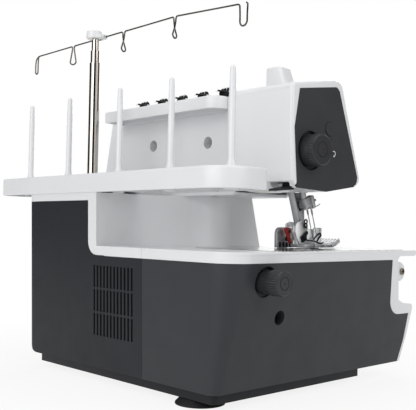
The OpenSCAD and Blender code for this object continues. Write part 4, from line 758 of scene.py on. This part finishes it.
# Black hinge plate, spring leaf, hinge pin, lever stop, plate under the tongues, and a bent wire
bm = bmesh.new()
slab(bm, "x", [(-151.6, 151.6), (-156.8, 155), (-161.4, 157.8), (-163, 157.6), (-163.6, 155.4),
               (-160.6, 152.2), (-160.2, 147.8), (-154, 145.4)], 31.2, 32.6, 0.4)
slab(bm, "x", [(-170, 148), (-182, 146.9), (-190, 146.4), (-190, 144.4), (-171, 144.6)], 42.4, 44.6, 0.4)
lathe(bm, [(0, 0), (0, 2.3), (1, 2.5), (3.2, 2.5), (3.2, 0)], (32.4, -156.4, 150.2), LEFT, 24)
slab(bm, "x", [(-156.4, 158.4), (-160.4, 158.6), (-160.8, 155.2), (-157, 155.6)], 52.3, 53.4, 0.3)
slab(bm, "x", [(-196, 141.4), (-203, 141.4), (-212.6, 147.4), (-212, 148), (-203, 143), (-196, 142.6)],
     28.4, 49.6, 0.2)
wire(bm, [(28.4, y, z) for y, z in ((-156, 149), (-159, 147.9), (-164.6, 147.9), (-171.2, 147.1),
                                    (-177.1, 145.3), (-182.1, 144.9), (-184.7, 146.2))], 0.8)
finish_piece("presser_foot_hinge", bm, blackened_steel, "presser")

# Red lever that lets the foot go, with three studs to press
bm = bmesh.new()
slab(bm, "x", [(-163.6, 144.4), (-158.8, 144.4), (-156.2, 151), (-151.6, 158.2), (-151.4, 160.6),
               (-153.4, 161.6), (-157.6, 161.2), (-161.8, 159.6), (-163, 157.6), (-160.4, 155.8),
               (-159.6, 153)], 52.4, 54.6, 0.6)
for y, z in ((-155.4, 158.4), (-158.2, 152.6), (-159.6, 148.6)):
    lathe(bm, [(0, 0), (0, 1.3), (0.5, 1.1), (0.5, 0)], (52.5, y, z), LEFT, 20)
finish_piece("foot_release_lever_moulded", bm, red_abs, body_of["foot_release_lever"],
             ["foot_release_lever"])

# Upper knife: a plate with round shoulders on its arm, with four slots painted as shade by dark bars, and a
# clamp screw
bm = bmesh.new()
slab(bm, "x", [(-172, 139.9), (-172, 154.4)] + arc((-165, 155), 6.4, 180, 90, 6) +
     arc((-152, 154.4), 7, 90, 0, 8) + [(-145, 139.9)], 58, 61.9, 0.5)
box(bm, (58, -161.7, 97), (62, -150, 141.2), 0.3)
finish_piece("upper_knife_plate", bm, sintered_steel, body_of["upper_knife"],
             ["upper_knife"])
bm = bmesh.new()
# Painted shade: four dark bars on the plate's face for its slots
for y in (-167.6, -162, -156.6, -151.2):
    box(bm, (57.7, y, 140.2), (58.4, y + 3, 145.6), 0.3)
lathe(bm, [(0, 0), (0, 3), (0.8, 2.8), (1.2, 2.2), (1.2, 0)], (58.2, -161, 149.2), LEFT, 24)
finish_piece("upper_knife_painted_slots", bm, blackened_steel, body_of["upper_knife"])

# Lined bay in the head that the presser lifter stands in
bm = bmesh.new()
slab(bm, "x", [(-101.5, 205.2), (-89.5, 205.6), (-89.5, 206.4), (-101.5, 206)], -3, 21, 0.1)
BAY_TOP = 206.2
for low, high in (((-4, -113, 200), (-3.1, -92, BAY_TOP)), ((21.1, -113, 200), (22, -92, BAY_TOP)),
                  ((-3.1, -114.9, 199.6), (21.1, -114.1, BAY_TOP))):
    box(bm, low, high, 0.1)
finish_piece("lifter_bay_lining", bm, white_abs, "machine")

# ---------- studio ----------
def seen_rays(tree):
    """1 for what the camera sees, also in polished metal and through clear plastic."""
    rays = add(tree, "ShaderNodeLightPath")
    seen = add(tree, "ShaderNodeMath", {0: rays.outputs["Is Camera Ray"], 1: rays.outputs["Is Glossy Ray"]},
               operation="MAXIMUM")
    return add(tree, "ShaderNodeMath", {0: seen.outputs[0], 1: rays.outputs["Is Transmission Ray"]},
               operation="MAXIMUM").outputs[0]


def stage_mesh(name, bm, material):
    """Turns a bmesh into a thing of the studio, which isn't part of the object."""
    mesh = bpy.data.meshes.new(name)
    bm.to_mesh(mesh)
    bm.free()
    mesh.materials.append(material)
    stage = bpy.data.objects.new(name, mesh)
    bpy.context.scene.collection.objects.link(stage)
    return stage


# Floor: matt white paper that fades into the white background and keeps a soft shadow
FADE_FROM, FADE_TO, FLOOR_HALF = 0.22, 0.5, 6.0   # metres from the middle
PAPER_LIFT = 0.86   # how far the paper near the object is lifted towards white
floor_material, tree = new_material("white_paper_floor")
place = add(tree, "ShaderNodeTexCoord").outputs["Object"]
reach = add(tree, "ShaderNodeVectorMath", {0: place}, operation="LENGTH")
fade = add(tree, "ShaderNodeMapRange", {"Value": reach.outputs["Value"], "From Min": FADE_FROM,
                                        "From Max": FADE_TO, "To Min": PAPER_LIFT, "To Max": 1.0})
white = add(tree, "ShaderNodeMath", {0: seen_rays(tree), 1: fade.outputs["Result"]}, operation="MULTIPLY")
paper = add(tree, "ShaderNodeBsdfDiffuse", {"Color": linear("#f2f2f2")})
glow = add(tree, "ShaderNodeEmission", {"Color": (1, 1, 1, 1), "Strength": 1.0})
lift = add(tree, "ShaderNodeMixShader", {0: white.outputs[0], 1: paper.outputs["BSDF"],
                                         2: glow.outputs["Emission"]})
add(tree, "ShaderNodeOutputMaterial", {"Surface": lift.outputs["Shader"]})
bm = bmesh.new()
bmesh.ops.create_grid(bm, x_segments=1, y_segments=1, size=FLOOR_HALF)
stage_mesh("floor", bm, floor_material)

# Dark studio cards that only polished and satin surfaces mirror: directions from the object in degrees
FLAG_REACH, FLAG_FOOT, FLAG_TOP = 2.2, Vector((0, 0, -0.2)), Vector((0, 0, 2.2))   # metres
for name, first, last, tone in (("flag_behind_camera", 118, 164, "#1c1a18"),
                                ("flag_right", -13, 62, "#242220"), ("flag_left", 216, 286, "#57514b")):
    card, tree = new_material(name + "_cloth")
    cloth = add(tree, "ShaderNodeEmission", {"Color": linear(tone), "Strength": 1.0})
    add(tree, "ShaderNodeOutputMaterial", {"Surface": cloth.outputs["Emission"]})
    bm = bmesh.new()
    near, far = (Vector((math.cos(math.radians(a)), math.sin(math.radians(a)), 0)) * FLAG_REACH
                 for a in (first, last))
    corners = (near + FLAG_FOOT, far + FLAG_FOOT, far + FLAG_TOP, near + FLAG_TOP)
    bm.faces.new([bm.verts.new(corner) for corner in corners])
    flag = stage_mesh(name, bm, card)
    flag.visible_camera = flag.visible_diffuse = flag.visible_shadow = flag.visible_transmission = False

# White surroundings: full white to the camera and to mirrors, half as bright as light
world = bpy.data.worlds.new("studio")
world.use_nodes = True
tree = world.node_tree
tree.nodes.clear()
strength = add(tree, "ShaderNodeMapRange", {"Value": seen_rays(tree), "To Min": 0.5, "To Max": 1.0})
sky = add(tree, "ShaderNodeBackground", {"Color": (1, 1, 1, 1), "Strength": strength.outputs["Result"]})
add(tree, "ShaderNodeOutputWorld", {"Surface": sky.outputs["Background"]})
bpy.context.scene.world = world


def softbox(name, place, target, size, power):
    """A rectangular lamp that points at a target: metres and watts."""
    lamp = bpy.data.lights.new(name, "AREA")
    lamp.shape = "RECTANGLE"
    lamp.size, lamp.size_y = size
    lamp.energy = power
    panel = bpy.data.objects.new(name, lamp)
    panel.location = place
    panel.rotation_euler = (Vector(target) - Vector(place)).to_track_quat("-Z", "Y").to_euler()
    bpy.context.scene.collection.objects.link(panel)


softbox("end_softbox", (-1.2, -0.2, 1.1), (0, 0, 0.15), (1.0, 1.0), 4.8)
softbox("top_softbox", (0.1, 0.5, 1.6), (0, 0, 0.2), (1.6, 1.6), 5)
softbox("back_softbox", (-0.35, 1.8, 0.7), (0, 0, 0.15), (1.5, 1.2), 12)
softbox("front_softbox", (0.6, -1.5, 0.9), (0, 0, 0.2), (1.2, 1.0), 7)
bpy.context.scene.view_settings.view_transform = "Standard"
